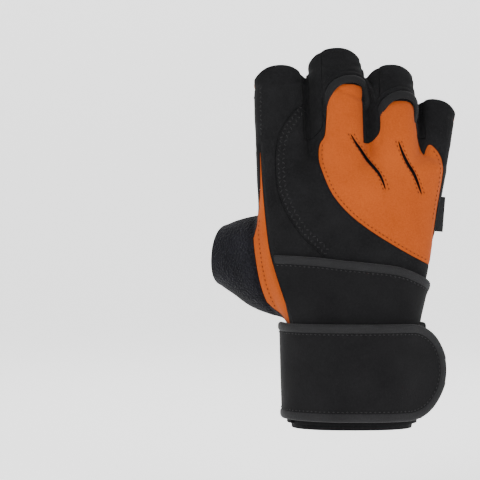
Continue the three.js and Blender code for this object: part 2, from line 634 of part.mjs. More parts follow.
const innerCuff = SHELL.intersect(belowLine(wrapTop(-WRAP_TUCK - GAP), -REACH)).subtract(thumbForm(GAP, 0));

const tapeOffset = (STRAP_THICKNESS + TAPE_THICKNESS) / 2 + GAP;
const strapTape = strapBand(-STRAP_STEP, tapeOffset, TAPE_THICKNESS, 0)
  .subtract(strapBand(-2 * STRAP_STEP, tapeOffset, 3 * TAPE_THICKNESS, TAPE_WIDTH));

// Colours and finishes.
const finish = (color, roughness) => new THREE.MeshStandardMaterial({ color, roughness, metalness: 0 });
const FINISHES = {
  suede: () => finish(0x2b2b2e, 0.95),
  stretch: () => finish(0x1d1d20, 0.8),
  orange: () => finish(0xc96a35, 0.85),
  terry: () => finish(0x1a1a20, 1),
  neoprene: () => finish(0x222224, 0.85),
  tape: () => finish(0x2e2e31, 0.7),
};

const glove = new THREE.Group();

// Adds a named piece to the glove.
function addPiece(name, solid, finishName) {
  const { numProp, vertProperties, triVerts } = largest(solid).getMesh();
  const positions = new Float32Array((vertProperties.length / numProp) * 3);
  for (let i = 0; i < positions.length / 3; i += 1) {
    positions.set(vertProperties.subarray(i * numProp, i * numProp + 3), i * 3);
  }
  const geometry = new THREE.BufferGeometry();
  geometry.setAttribute('position', new THREE.BufferAttribute(positions, 3));
  geometry.setIndex(Array.from(triVerts));
  geometry.computeVertexNormals();
  const mesh = new THREE.Mesh(geometry, FINISHES[finishName]());
  mesh.name = name;
  glove.add(mesh);
}

addPiece('palm_panel', palmPanel, 'suede');
addPiece('back_panel', backPanel, 'orange');
addPiece('centre_back', centreBack, 'stretch');
addPiece('index_back', backRest.intersect(between(-0.9, 0.05, 0)), 'stretch');
addPiece('middle_back', backRest.intersect(between(-0.22, 0.09, 1.2)), 'stretch');
addPiece('ring_back', backRest.intersect(between(0.09, 0.35, 1.1)), 'stretch');
addPiece('little_back', backRest.intersect(between(0.33, 0.9, 0)), 'stretch');
addPiece('radial_strip', radialStrip, 'orange');
addPiece('ulnar_stripe', stripe, 'orange');
addPiece('thumb_sleeve', thumbSleeve, 'terry');
for (const [radial, ulnar] of SIDES) {
  addPiece(`side_${radial.name}_${ulnar.name}`, HAND_WALL.intersect(crotch(radial, ulnar, 0)), 'stretch');
}
for (const finger of FINGERS) {
  addPiece(`mouth_band_${finger.name}`, SHELL.intersect(bandSlice(finger, 0)).subtract(sideCuts), 'orange');
}
const PADS = { palm_bar_pad: BAR_PAD, palm_curve_pad: CURVE_PAD, thumb_base_pad: THUMB_PAD };
for (const [name, rows] of Object.entries(PADS)) {
  addPiece(name, layer(GAP, PAD_HEIGHT).intersect(palmPrism(rows)), 'suede');
}
addPiece('heel_trim', FRONT.intersect(palmPrism(HEEL_TRIM)), 'orange');
addPiece('heel_trim_side', FRONT.intersect(palmPrism(HEEL_TRIM_SIDE)), 'orange');
addPiece('pull_tab_middle', layer(GAP, TAB_THICKNESS).intersect(backPrism(MIDDLE_TAB)), 'stretch');
addPiece('pull_tab_ring', layer(GAP, TAB_THICKNESS).intersect(backPrism(RING_TAB)), 'stretch');
const tagPlate = prism(outline(SIDE_TAG), -TAG_THICKNESS, 0);
addPiece('side_tag', tagPlate.subtract(handForm(GAP)), 'tape');
addPiece('inner_cuff', innerCuff, 'stretch');
addPiece('wrap_layer', wrapLayer, 'neoprene');
addPiece('wrap_tape', wrapTape, 'tape');
addPiece('strap', strapBand(STRAP_START, 0, STRAP_THICKNESS, 0), 'neoprene');
addPiece('strap_tape', strapTape, 'tape');

export default glove;
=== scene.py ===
# %% [markdown]
# # A weightlifting glove, sewn in Blender
# The glove is cut from stretch cloth, suede and terry, and it has the form that a hand gives it. The measured
# solids come from the frame. This lesson makes the cloth that is seen, in the same place and size.

# %% Frame
import json
import math

import bmesh
import bpy
import numpy as np
from mathutils import Matrix, Vector, noise
from mathutils.bvhtree import BVHTree
from mathutils.kdtree import KDTree

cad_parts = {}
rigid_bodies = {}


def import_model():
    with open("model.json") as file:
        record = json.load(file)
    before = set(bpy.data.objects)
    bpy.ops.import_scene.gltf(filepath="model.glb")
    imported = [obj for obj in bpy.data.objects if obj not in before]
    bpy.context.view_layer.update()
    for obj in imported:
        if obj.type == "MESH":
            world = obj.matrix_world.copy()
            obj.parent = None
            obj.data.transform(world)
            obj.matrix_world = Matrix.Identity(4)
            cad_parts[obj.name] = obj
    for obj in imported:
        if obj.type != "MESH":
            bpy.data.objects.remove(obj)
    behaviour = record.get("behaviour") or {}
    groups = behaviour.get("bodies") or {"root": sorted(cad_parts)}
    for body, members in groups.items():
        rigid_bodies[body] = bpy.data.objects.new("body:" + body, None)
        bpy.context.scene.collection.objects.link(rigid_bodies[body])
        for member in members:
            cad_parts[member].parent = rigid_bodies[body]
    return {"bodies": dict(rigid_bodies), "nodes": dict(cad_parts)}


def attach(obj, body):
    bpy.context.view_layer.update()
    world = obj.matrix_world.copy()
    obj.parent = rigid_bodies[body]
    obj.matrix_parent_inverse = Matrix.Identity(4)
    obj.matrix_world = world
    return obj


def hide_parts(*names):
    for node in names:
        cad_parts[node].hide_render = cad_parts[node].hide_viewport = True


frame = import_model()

for name in ("Cube", "Light", "Camera"):
    if name in bpy.data.objects:
        bpy.data.objects.remove(bpy.data.objects[name])
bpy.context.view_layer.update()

# %% [markdown]
# ## Sizes
# A few sizes drive the whole glove. The tables further down hold shares of these, so a wider hand or a longer
# finger is one changed number.

# %% Sizes
MM = 0.001
HAND_BREADTH = 100 * MM
HAND_DEPTH = 38 * MM
HAND_HEIGHT = 150 * MM
WRIST_BREADTH = 68 * MM
WRIST_DEPTH = 44 * MM
CUFF_HEIGHT = 58 * MM
CUFF_TAPER = 0.955
FINGER_LENGTH = 50 * MM
FINGER_WIDTH = 28 * MM
FINGER_DEPTH = 23 * MM
KNUCKLE_DEPTH = 36 * MM
BAND_HEIGHT = 7 * MM
THUMB_WIDTH = 34 * MM
THUMB_DEPTH = 31 * MM
WALL = 1.9 * MM
GAP = 0.3 * MM
PAD_HEIGHT = 1.7 * MM
WRAP_THICKNESS = 2.2 * MM
WRAP_BOTTOM = 3 * MM
WRAP_TUCK = 6 * MM
STRAP_THICKNESS = 2.5 * MM
STRAP_HEIGHT = 51.3 * MM
STRAP_BOTTOM = 5.2 * MM
STRAP_DIP = 5 * MM
STRAP_FREE_LENGTH = 24 * MM
TAB_ROUNDING = 26 * MM
TAPE_WIDTH = 4.8 * MM
SECTION_POWER = 2.4
REACH = 90 * MM
PAST_MOUTH = 7 * MM
SEAM_DEPTH = 0.7 * MM
SEAM_WIDTH = 1.5 * MM
STITCH_LENGTH = 1.4 * MM
STITCH_WIDTH = 0.6 * MM
STITCH_STEP = 2.4 * MM
MOUTH_DROP = 3.9 * MM
CROTCH_ROUNDING = 8 * MM


def table(names, rows):
    """Rows of numbers as dictionaries with named columns."""
    return [dict(zip(names.split(), row)) for row in rows]


BODY_SECTIONS = table("up left right back palm lean", [
    [-0.2, -0.32, 0.32, -0.545, 0.545, 0],
    [0, -0.325, 0.325, -0.553, 0.553, 0],
    [0.36, -0.34, 0.34, -0.575, 0.575, 0],
    [0.46, -0.43, 0.373, -0.54, 0.62, 0],
    [0.57, -0.487, 0.417, -0.51, 0.645, 0],
    [0.68, -0.51, 0.442, -0.5, 0.62, 0],
    [0.78, -0.506, 0.468, -0.5, 0.55, 0],
    [0.89, -0.498, 0.492, -0.47, 0.5, 0],
    [0.955, -0.48, 0.49, -0.38, 0.46, 0.02],
    [0.995, -0.4, 0.4, -0.21, 0.33, 0.03],
])
FINGERS = table(
    "name rootAcross rootUp rootWidth rootDepth across out length width depth"
    " curl sideFrom ulnarBack ulnarPalm radialPalm radialBack", [
        ["index", -0.35, 0.8, 1.107, 0.75, -0.393, 0.2, 0.814, 0.986, 1, 22, 0.34, -30, 45, 180, 182],
        ["middle", -0.055, 0.8, 1.214, 1, -0.089, 0.22, 0.99, 1.014, 1, 25, 0.32, -12, 58, 144, 238],
        ["ring", 0.225, 0.8, 1.071, 0.97, 0.208, 0.22, 0.806, 0.943, 0.957, 27, 0.34, -12, 68, 165, 243],
        ["little", 0.335, 0.7, 0.786, 0.62, 0.475, 0.45, 0.466, 0.821, 0.87, 24, 0.58, -4, 0, 130, 230],
    ])
THUMB_SECTIONS = table("step across out up width depth", [
    [0, -0.26, 0.13, 0.573, 1.76, 1.1],
    [1, -0.43, 0.24, 0.59, 1.62, 1.065],
    [2, -0.555, 0.42, 0.607, 1.35, 1.03],
    [3, -0.67, 0.63, 0.617, 1, 1],
])
SIDE_SEAM = table("up radial ulnar", [
    [-0.1, 0, 0], [0.8, 0, 0.02], [0.91, 0, 0.09], [1.03, 0.01, 0.25], [1.13, 0.055, 0.41],
    [1.21, 0.115, 0.53], [1.27, 0.2, 0.63], [1.45, 0.42, 0.84],
])
WRAP_EDGE = table("angle up", [
    [-152, 0.618], [-128, 0.615], [-110, 0.609], [-90, 0.594], [-60, 0.575], [-35, 0.545], [0, 0.512],
    [35, 0.475], [60, 0.452], [90, 0.418], [120, 0.397], [145, 0.377], [180, 0.36], [208, 0.36],
])

# %% [markdown]
# ## Outlines of the panels
# A glove maker has a paper pattern. Here the pattern is a set of outlines seen from the back or from the palm:
# across is a share of the hand's breadth and up a share of its height.

# %% Panel outlines
BACK_PANEL = [
    (-0.134, 1.226), (-0.136, 1.163), (-0.145, 1.06), (-0.152, 1.034), (-0.18, 1.012), (-0.184, 0.953),
    (-0.158, 0.9), (-0.126, 0.847),
    (-0.084, 0.805), (-0.02, 0.759), (0.06, 0.717), (0.139, 0.682), (0.245, 0.64), (0.324, 0.611), (0.47, 0.565),
    (0.46, 0.6), (0.432, 0.68), (0.445, 0.742), (0.461, 0.814), (0.483, 0.885), (0.491, 0.928), (0.483, 0.964),
    (0.467, 0.985), (0.44, 1.007), (0.418, 1.016), (0.402, 1.002), (0.389, 0.972), (0.374, 0.985), (0.357, 1.02),
    (0.34, 1.09), (0.335, 1.165), (0.205, 1.168), (0.165, 1.138), (0.09, 1.13), (0.09, 1.226),
]
SLIT_MIDDLE = [(-0.015, 1.049), (0.012, 1.017), (0.044, 0.989), (0.091, 0.943), (0.144, 0.9), (0.17, 0.847)]
SLIT_RING = [(0.24, 1.024), (0.256, 0.989), (0.287, 0.943), (0.324, 0.908), (0.366, 0.83)]
CENTRE_BACK = [
    (-0.284, 1.155), (-0.337, 1.112), (-0.39, 1.059), (-0.412, 0.989), (-0.412, 0.918), (-0.401, 0.847),
    (-0.37, 0.788), (-0.327, 0.735), (-0.269, 0.682), (-0.211, 0.647), (-0.152, 0.608), (-0.05, 0.53), (-0.05, 0.4),
    (0.6, 0.4), (0.6, 0.6), (0.3, 0.7), (0, 0.85), (-0.12, 1), (-0.17, 1.155),
]
RADIAL_STRIP = [
    (-0.495, 1.01), (-0.4925, 0.92), (-0.4925, 0.85), (-0.5, 0.79), (-0.524, 0.752), (-0.533, 0.739),
    (-0.533, 0.671), (-0.517, 0.582),
    (-0.49, 0.493), (-0.442, 0.422), (-0.383, 0.386), (-0.36, 0.3), (-0.26, 0.3), (-0.325, 0.387), (-0.352, 0.431),
    (-0.389, 0.502), (-0.422, 0.573), (-0.448, 0.636), (-0.464, 0.724), (-0.474, 0.795), (-0.485, 0.884),
]
THUMB_BACK = [
    (-0.506, 0.752), (-0.533, 0.739), (-0.533, 0.671), (-0.517, 0.582), (-0.49, 0.493), (-0.442, 0.422),
    (-0.383, 0.386), (-0.36, 0.3), (-1, 0.3), (-1, 0.9), (-0.56, 0.9),
]
THUMB_PALM = [
    (-0.62, 0.88), (-0.5, 0.852), (-0.42, 0.842), (-0.359, 0.837), (-0.316, 0.826), (-0.28, 0.802), (-0.247, 0.769),
    (-0.227, 0.745), (-0.247, 0.706), (-0.28, 0.671), (-0.316, 0.651), (-0.348, 0.615), (-0.39, 0.573),
    (-0.448, 0.517), (-0.36, 0.46), (-0.32, 0.39), (-0.31, 0.3), (-1, 0.3), (-1, 0.88),
]
HEEL_TRIM = [
    (0.179, 0.445), (0.089, 0.451), (-0.069, 0.447), (-0.201, 0.442), (-0.232, 0.438), (-0.247, 0.418),
    (-0.274, 0.399), (-0.306, 0.387), (-0.308, 0.3), (0.179, 0.3),
]
HEEL_TRIM_SIDE = [
    (-0.234, 0.441), (-0.269, 0.44), (-0.285, 0.451), (-0.316, 0.471), (-0.369, 0.495), (-0.411, 0.508),
    (-0.448, 0.515), (-0.501, 0.493), (-0.48, 0.482), (-0.427, 0.46), (-0.374, 0.429), (-0.343, 0.408),
    (-0.326, 0.387), (-0.318, 0.3), (-0.31, 0.3), (-0.308, 0.387), (-0.276, 0.401), (-0.249, 0.42),
]
ULNAR_STRIPE = [
    (0.6, 1.14), (0.564, 1.099), (0.542, 1.053), (0.526, 1.007), (0.505, 0.956), (0.473, 0.885), (0.462, 0.831),
    (0.446, 0.76), (0.43, 0.689), (0.419, 0.635), (0.409, 0.593), (0.393, 0.546), (0.383, 0.511), (0.361, 0.47),
    (0.27, 0.44), (0.277, 0.466), (0.314, 0.487), (0.346, 0.529), (0.372, 0.582), (0.394, 0.636), (0.405, 0.689),
    (0.414, 0.75), (0.431, 0.831), (0.452, 0.895), (0.468, 0.955), (0.489, 1.026), (0.51, 1.075), (0.53, 1.14),
]
PALM_PANEL = [
    (0.277, 0.466), (0.314, 0.487), (0.346, 0.529), (0.372, 0.582), (0.394, 0.636), (0.405, 0.689), (0.414, 0.75),
    (0.431, 0.831), (0.452, 0.895), (0.468, 0.955), (0.489, 1.026), (0.51, 1.075), (0.6, 1.16), (0.6, 1.6),
    (-0.8, 1.6), (-0.8, 0.3), (0.277, 0.3),
]
PADS = {
    "palm_bar_pad": [
        (0.299, 0.952), (0.179, 0.984), (0.089, 0.998), (-0.08, 1.01), (-0.185, 1.012), (-0.28, 1.006),
        (-0.369, 1.002), (-0.396, 0.987), (-0.359, 0.966), (-0.227, 0.952), (-0.043, 0.931), (0.089, 0.921),
        (0.299, 0.917), (0.312, 0.935),
    ],
    "palm_curve_pad": [
        (0.247, 0.84), (0.115, 0.857), (-0.122, 0.889), (-0.332, 0.912), (-0.405, 0.914), (-0.415, 0.9),
        (-0.359, 0.875), (-0.306, 0.861), (-0.227, 0.84), (-0.174, 0.815), (-0.122, 0.784), (-0.058, 0.741),
        (-0.006, 0.706), (0.036, 0.671), (0.079, 0.633), (0.132, 0.58), (0.184, 0.541), (0.2, 0.573), (0.218, 0.61),
        (0.216, 0.661), (0.194, 0.679), (0.142, 0.703), (0.089, 0.724), (0.036, 0.752), (-0.016, 0.78),
        (-0.011, 0.811), (0.036, 0.811), (0.115, 0.798), (0.231, 0.776), (0.265, 0.79), (0.265, 0.825),
    ],
    "thumb_base_pad": [
        (-0.216, 0.734), (-0.174, 0.721), (-0.122, 0.675), (-0.08, 0.644), (-0.048, 0.612), (-0.032, 0.58),
        (-0.043, 0.556), (-0.095, 0.548), (-0.164, 0.556), (-0.206, 0.58), (-0.232, 0.612), (-0.262, 0.66),
        (-0.238, 0.7),
    ],
}

# %% [markdown]
# ## Making and cutting meshes
# Every rounded form here is a loft: a grid from bmesh whose rows are laid on the rings of a section table, with
# its seam merged and its ends filled. Panels are then cut from the form with boolean tools, the way that cloth
# is cut along a pattern, because that keeps two neighbours on exactly the same surface.

# %% Mesh helpers
def new_object(name, bm):
    """An object with the mesh, linked to the scene."""
    mesh = bpy.data.meshes.new(name)
    bm.to_mesh(mesh)
    bm.free()
    made = bpy.data.objects.new(name, mesh)
    bpy.context.scene.collection.objects.link(made)
    return made


def loft_mesh(rings, closed=False):
    """A bmesh through rings of equally many points; closed joins the last ring to the first."""
    bm = bmesh.new()
    count = len(rings[0])
    rows = len(rings) if closed else len(rings) - 1
    made = bmesh.ops.create_grid(bm, x_segments=count, y_segments=rows, size=1)["verts"]
    for vert in made:
        column = round((vert.co.x + 1) / 2 * count)
        row = round((vert.co.y + 1) / 2 * rows)
        vert.co = rings[row % len(rings)][column % count]
    bmesh.ops.remove_doubles(bm, verts=bm.verts, dist=MM / 1000)
    if not closed:
        bmesh.ops.holes_fill(bm, edges=bm.edges)
    bmesh.ops.recalc_face_normals(bm, faces=bm.faces)
    return bm


def loft(name, rings, closed=False):
    return new_object(name, loft_mesh(rings, closed))


def apply_modifiers(made):
    """Puts the result of an object's modifiers into its mesh."""
    graph = bpy.context.evaluated_depsgraph_get()
    mesh = bpy.data.meshes.new_from_object(made.evaluated_get(graph))
    old = made.data
    made.modifiers.clear()
    made.data = mesh
    bpy.data.meshes.remove(old)


def copy_of(made, name):
    copied = bpy.data.objects.new(name, made.data.copy())
    bpy.context.scene.collection.objects.link(copied)
    return copied


def remove(*objects):
    for made in objects:
        bpy.data.objects.remove(made)


def cut(name, base, *steps):
    """A copy of a closed mesh after cuts; a step is ("INTERSECT", tool), ("DIFFERENCE", tool) or a union."""
    made = copy_of(base, name)
    for operation, tool in steps:
        modifier = made.modifiers.new(operation, "BOOLEAN")
        modifier.operation = operation
        modifier.solver = "MANIFOLD"
        modifier.object = tool
        apply_modifiers(made)
    return made


def union(name, tools):
    made = cut(name, tools[0], *(("UNION", tool) for tool in tools[1:]))
    remove(*tools)
    return made


def keep_largest(made):
    """Drops the crumbs that a cut leaves, and keeps the piece with the most faces."""
    bm = bmesh.new()
    bm.from_mesh(made.data)
    left = set(bm.verts)
    islands = []
    while left:
        island = {left.pop()}
        edge_of_island = list(island)
        while edge_of_island:
            vert = edge_of_island.pop()
            for edge in vert.link_edges:
                other = edge.other_vert(vert)
                if other not in island:
                    island.add(other)
                    left.discard(other)
                    edge_of_island.append(other)
        islands.append(island)
    islands.sort(key=len)
    crumbs = [vert for island in islands[:-1] for vert in island]
    bmesh.ops.delete(bm, geom=crumbs, context="VERTS")
    bm.to_mesh(made.data)
    bm.free()


def power(value):
    """Rounds a rectangle's corners: a cosine or sine raised to a power, with its sign kept."""
    return math.copysign(abs(value) ** (2 / SECTION_POWER), value)


def column_at(rows, key, column, at):
    """Reads a column between its rows on a smooth curve."""
    places = [row[key] for row in rows]
    values = [row[column] for row in rows]
    slopes = np.gradient(values, places)
    at = min(max(at, places[0]), places[-1])
    i = max(1, next(n for n, place in enumerate(places) if place >= at))
    width = places[i] - places[i - 1]
    t = (at - places[i - 1]) / width
    start = values[i - 1] * (1 + 2 * t) * (1 - t) ** 2 + slopes[i - 1] * width * t * (1 - t) ** 2
    end = values[i] * t * t * (3 - 2 * t) + slopes[i] * width * t * t * (t - 1)
    return start + end


# %% [markdown]
# ## The hand's form
# The real glove is filled by a hand, so its form is modelled first: a palm and wrist, four fingers that curl a
# little towards the palm, and a thumb. A voxel remesh makes one skin of them, and smoothing rounds the webs
# between the fingers as stretched cloth does.

# %% Body, fingers and thumb
BODY_SIDES = 96
FINGER_SIDES = 48
VOXEL = 0.95 * MM
AXIS_X = Vector((1, 0, 0))
AXIS_Z = Vector((0, 0, 1))


def body_point(angle, z, grow):
    """A point on the palm and wrist at an angle from +X towards the palm."""
    row = {name: column_at(BODY_SECTIONS, "up", name, z / HAND_HEIGHT) for name in BODY_SECTIONS[0]}
    return body_ring_point(row, angle, z, grow)


def body_ring_point(row, angle, z, grow):
    turn = math.radians(angle)
    depth = row["palm"] if math.sin(turn) > 0 else -row["back"]
    out = (depth * HAND_DEPTH + grow) * power(math.sin(turn))
    half = (row["right"] - row["left"]) / 2 * HAND_BREADTH + grow
    across = (row["right"] + row["left"]) / 2 * HAND_BREADTH + half * power(math.cos(turn))
    lean = row["lean"] * HAND_HEIGHT / (row["palm"] * HAND_DEPTH)
    return Vector((across, out, z + lean * out))


def body_rings(low, high, count):
    rings = []
    for z in np.linspace(low, high, count):
        row = {name: column_at(BODY_SECTIONS, "up", name, z / HAND_HEIGHT) for name in BODY_SECTIONS[0]}
        rings.append([body_ring_point(row, 360 * i / BODY_SIDES, z, 0) for i in range(BODY_SIDES)])
    return rings


def finger_frame(finger, at):
    """Middle, axes and half sizes of a finger at a share of its curve; past 1 it runs on straight."""
    root = Vector((finger["rootAcross"] * HAND_BREADTH, 0, finger["rootUp"] * HAND_HEIGHT))
    mouth = Vector((
        finger["across"] * HAND_BREADTH,
        finger["out"] * HAND_DEPTH,
        HAND_HEIGHT + finger["length"] * FINGER_LENGTH,
    ))
    drop = mouth.y / math.tan(math.radians(finger["curl"]))
    share = (mouth.z - drop - root.z) / (mouth.z - root.z)
    knee = Vector((root.x + share * (mouth.x - root.x), root.y, mouth.z - drop))
    inside = min(max(at, 0), 1)
    middle = root * (1 - inside) ** 2 + knee * 2 * inside * (1 - inside) + mouth * inside ** 2
    speed = (knee - root).lerp(mouth - knee, inside) * 2
    along = speed.normalized()
    middle += speed * (at - inside)
    across = (AXIS_X - along * along.x).normalized()
    width = np.interp(inside, [0, 1], [finger["rootWidth"], finger["width"]]) * FINGER_WIDTH / 2
    depths = [finger["rootDepth"] * KNUCKLE_DEPTH, finger["depth"] * FINGER_DEPTH]
    depth = np.interp(inside, [0, 1], depths) / 2
    return middle, across, along.cross(across), along, width, depth, speed.length


def finger_point(finger, at, angle, grow):
    middle, across, out, _, width, depth, _ = finger_frame(finger, at)
    turn = math.radians(angle)
    return (
        middle
        + across * (width + grow) * power(math.cos(turn))
        + out * (depth + grow) * power(math.sin(turn))
    )


def finger_rings(finger):
    stations = list(np.linspace(0, 1, 22)) + [1 + PAST_MOUTH / finger_frame(finger, 1)[6]]
    angles = [360 * i / FINGER_SIDES for i in range(FINGER_SIDES)]
    return [[finger_point(finger, at, angle, 0) for angle in angles] for at in stations]


def thumb_frame(step):
    def middle_at(at):
        row = {name: column_at(THUMB_SECTIONS, "step", name, at) for name in ("across", "out", "up")}
        return Vector((row["across"] * HAND_BREADTH, row["out"] * HAND_DEPTH, row["up"] * HAND_HEIGHT))

    along = (middle_at(min(step + 0.05, 3)) - middle_at(max(min(step, 3) - 0.05, 0))).normalized()
    middle = middle_at(step) + along * max(0, step - 3)
    upward = (AXIS_Z - along * along.z).normalized()
    width = column_at(THUMB_SECTIONS, "step", "width", step) * THUMB_WIDTH / 2
    depth = column_at(THUMB_SECTIONS, "step", "depth", step) * THUMB_DEPTH / 2
    return middle, upward, upward.cross(along), along, width, depth


def thumb_point(step, angle, grow):
    middle, upward, out, _, width, depth = thumb_frame(step)
    turn = math.radians(angle)
    return (
        middle
        + upward * (width + grow) * power(math.cos(turn))
        + out * (depth + grow) * power(math.sin(turn))
    )


def thumb_rings():
    stations = list(np.linspace(0, 3, 18)) + [3 + PAST_MOUTH]
    angles = [360 * i / FINGER_SIDES for i in range(FINGER_SIDES)]
    return [[thumb_point(step, angle, 0) for angle in angles] for step in stations]


parts = [loft("body", body_rings(-10 * MM, 0.995 * HAND_HEIGHT, 60)), loft("thumb", thumb_rings())]
parts += [loft(finger["name"], finger_rings(finger)) for finger in FINGERS]
hand = union("hand", parts)
remesh = hand.modifiers.new("skin", "REMESH")
remesh.mode = "VOXEL"
remesh.voxel_size = VOXEL
smooth = hand.modifiers.new("smooth", "SMOOTH")
smooth.factor = 0.5
smooth.iterations = 14
apply_modifiers(hand)
print("hand form:", len(hand.data.vertices), "points")

# %% [markdown]
# ## Lines on the surface
# Seams and stitches follow lines of the pattern on the hand's form. A line is drawn flat, rounded at its
# corners, cut into even steps, and then cast onto the form from the back or from the palm.

# %% Lines
def flat(rows):
    return [Vector((across * HAND_BREADTH, 0, up * HAND_HEIGHT)) for across, up in rows]


def rounded(points, closed=True, times=2):
    """Cuts the corners of a line, which rounds them as a needle and thread do."""
    for _ in range(times):
        follow = points[1:] + points[:1] if closed else points[1:]
        cut_points = []
        for here, there in zip(points, follow):
            cut_points += [here.lerp(there, 0.25), here.lerp(there, 0.75)]
        points = cut_points if closed else [points[0]] + cut_points + [points[-1]]
    return points


def area_of(points):
    follow = points[1:] + points[:1]
    return sum(a.x * b.z - b.x * a.z for a, b in zip(points, follow)) / 2


def grown(points, distance):
    """A closed outline moved outwards by a distance."""
    if area_of(points) < 0:
        points = points[::-1]
    made = []
    for i, point in enumerate(points):
        first = (point - points[i - 1]).normalized()
        second = (points[(i + 1) % len(points)] - point).normalized()
        normal = Vector((first.z + second.z, 0, -first.x - second.x)).normalized()
        made.append(point + normal * distance / max(0.6, normal.dot(Vector((first.z, 0, -first.x)))))
    return made


def stepped(points, step):
    """The same line with points at even steps."""
    lengths = np.concatenate([[0], np.cumsum([(b - a).length for a, b in zip(points, points[1:])])])
    places = np.linspace(0, lengths[-1], max(2, round(lengths[-1] / step)))
    columns = [np.interp(places, lengths, [point[axis] for point in points]) for axis in range(3)]
    return [Vector(values) for values in zip(*columns)]


def beside(points, distance):
    """An open line moved sideways, to the left of its direction as the palm sees it."""
    made = []
    for i, point in enumerate(points):
        along = (points[min(i + 1, len(points) - 1)] - points[max(i - 1, 0)]).normalized()
        made.append(point + Vector((-along.z, 0, along.x)) * distance)
    return made


def tree_of(made):
    bm = bmesh.new()
    bm.from_mesh(made.data)
    tree = BVHTree.FromBMesh(bm)
    bm.free()
    return tree


def cast(tree, points, side):
    """Points and normals where a line falls on the form, from the back (-1) or the palm (1)."""
    found = []
    for point in points:
        place, normal, _, _ = tree.ray_cast(Vector((point.x, side * REACH, point.z)), Vector((0, -side, 0)))
        if place:
            found.append((place, normal))
    return found


bare_tree = tree_of(hand)
BACK, PALM = -1, 1
LINE_STEP = 0.8 * MM


def closed_line(rows, side, grow=0):
    points = grown(rounded(flat(rows)), grow)
    return cast(bare_tree, stepped(points + points[:1], LINE_STEP), side)


def open_line(rows, side, shift=0):
    return cast(bare_tree, stepped(beside(rounded(flat(rows), False), shift), LINE_STEP), side)


def finger_line(finger, angle, first, last):
    """A seam that runs up a finger at an angle about it."""
    places = [finger_point(finger, at, angle, 0) for at in np.linspace(first, last, 60)]
    return [bare_tree.find_nearest(place)[:2] for place in places]


def mouth_line(finger, distance):
    """A ring about a finger, a distance below its mouth."""
    at = 1 - distance / finger_frame(finger, 1)[6]
    places = [finger_point(finger, at, angle, 0) for angle in range(0, 360, 4)]
    return [bare_tree.find_nearest(place)[:2] for place in places]


seams = [
    closed_line(BACK_PANEL[:-2] + [(0.09, 1.165)], BACK),
    open_line(SLIT_MIDDLE, BACK),
    open_line(SLIT_RING, BACK),
    open_line(CENTRE_BACK[:11], BACK),
    open_line(RADIAL_STRIP[:11], BACK),
    open_line(RADIAL_STRIP[13:], BACK),
    open_line(THUMB_PALM[1:14], PALM),
    open_line(ULNAR_STRIPE[1:14], PALM),
    open_line(PALM_PANEL[:12], PALM),
    open_line(HEEL_TRIM[:8], PALM),
    open_line(HEEL_TRIM_SIDE[:8], PALM),
    *[closed_line(rows, PALM, 1.2 * MM) for rows in PADS.values()],
]
for finger in FINGERS:
    for side_angle in ("ulnarBack", "ulnarPalm", "radialPalm", "radialBack"):
        seams.append(finger_line(finger, finger[side_angle], finger["sideFrom"], 1))
    seams.append(mouth_line(finger, BAND_HEIGHT))
print("seam lines:", len(seams), "with", sum(len(line) for line in seams), "points")

# %% [markdown]
# ## Cloth that sits on a hand
# A seam pulls the cloth in, so each point near a seam line moves inwards. Between the seams the cloth keeps a faint
# unevenness.

# %% Seam valleys and soft folds
FOLD_HEIGHT = 0.28 * MM
FOLD_SCALE = 0.055 / MM
seam_tree = KDTree(sum(len(line) for line in seams))
seam_points = [place for line in seams for place, _ in line]
for number, place in enumerate(seam_points):
    seam_tree.insert(place, number)
seam_tree.balance()


def softened(made):
    bm = bmesh.new()
    bm.from_mesh(made.data)
    bm.normal_update()
    moves = []
    for vert in bm.verts:
        distance = seam_tree.find(vert.co)[2]
        valley = SEAM_DEPTH * math.exp(-((distance / SEAM_WIDTH) ** 2))
        fold = noise.fractal(vert.co * FOLD_SCALE, 1, 2, 3) * FOLD_HEIGHT
        moves.append(vert.normal * (fold - valley))
    for vert, move in zip(bm.verts, moves):
        vert.co += move
    bm.to_mesh(made.data)
    bm.free()


def offset_copy(made, name, distance):
    """A copy moved along its normals by a distance."""
    copied = copy_of(made, name)
    bm = bmesh.new()
    bm.from_mesh(copied.data)
    bm.normal_update()
    moves = [vert.normal * distance for vert in bm.verts]
    for vert, move in zip(bm.verts, moves):
        vert.co += move
    bm.to_mesh(copied.data)
    bm.free()
    return copied


lining = offset_copy(hand, "lining", -WALL)
softened(hand)
skin_tree = tree_of(hand)
print("softened the cloth around", len(seam_points), "seam points")

# %% [markdown]
# ## Cutting tools
# Each panel is cut out of the cloth with prisms of its outline. The strips between the fingers are cut with
# wedges that follow a finger's own curve, and the hand ends at the wrist along the wrap's slanted edge.

# %% Cutting tools
STRIPE_FROM = 4.5 * MM


def prism(name, points, low, high):
    """A solid with an outline seen along Y, between two depths."""
    bm = bmesh.new()
    corners = [bm.verts.new((point.x, low, point.z)) for point in points]
    face = bm.faces.new(corners)
    pushed = bmesh.ops.extrude_face_region(bm, geom=[face])["geom"]
    moved = [item for item in pushed if isinstance(item, bmesh.types.BMVert)]
    bmesh.ops.translate(bm, verts=moved, vec=(0, high - low, 0))
    bmesh.ops.recalc_face_normals(bm, faces=bm.faces)
    return new_object(name, bm)


def back_prism(rows, grow=0):
    return prism("back prism", grown(rounded(flat(rows)), grow), -REACH, max(grow, 0) + MM * 2)


def palm_prism(rows, grow=0):
    return prism("palm prism", grown(rounded(flat(rows)), grow), -grow - MM * 2, REACH)


def stripe_prism(grow):
    return prism("stripe", grown(rounded(flat(ULNAR_STRIPE)), grow), STRIPE_FROM - grow, REACH)


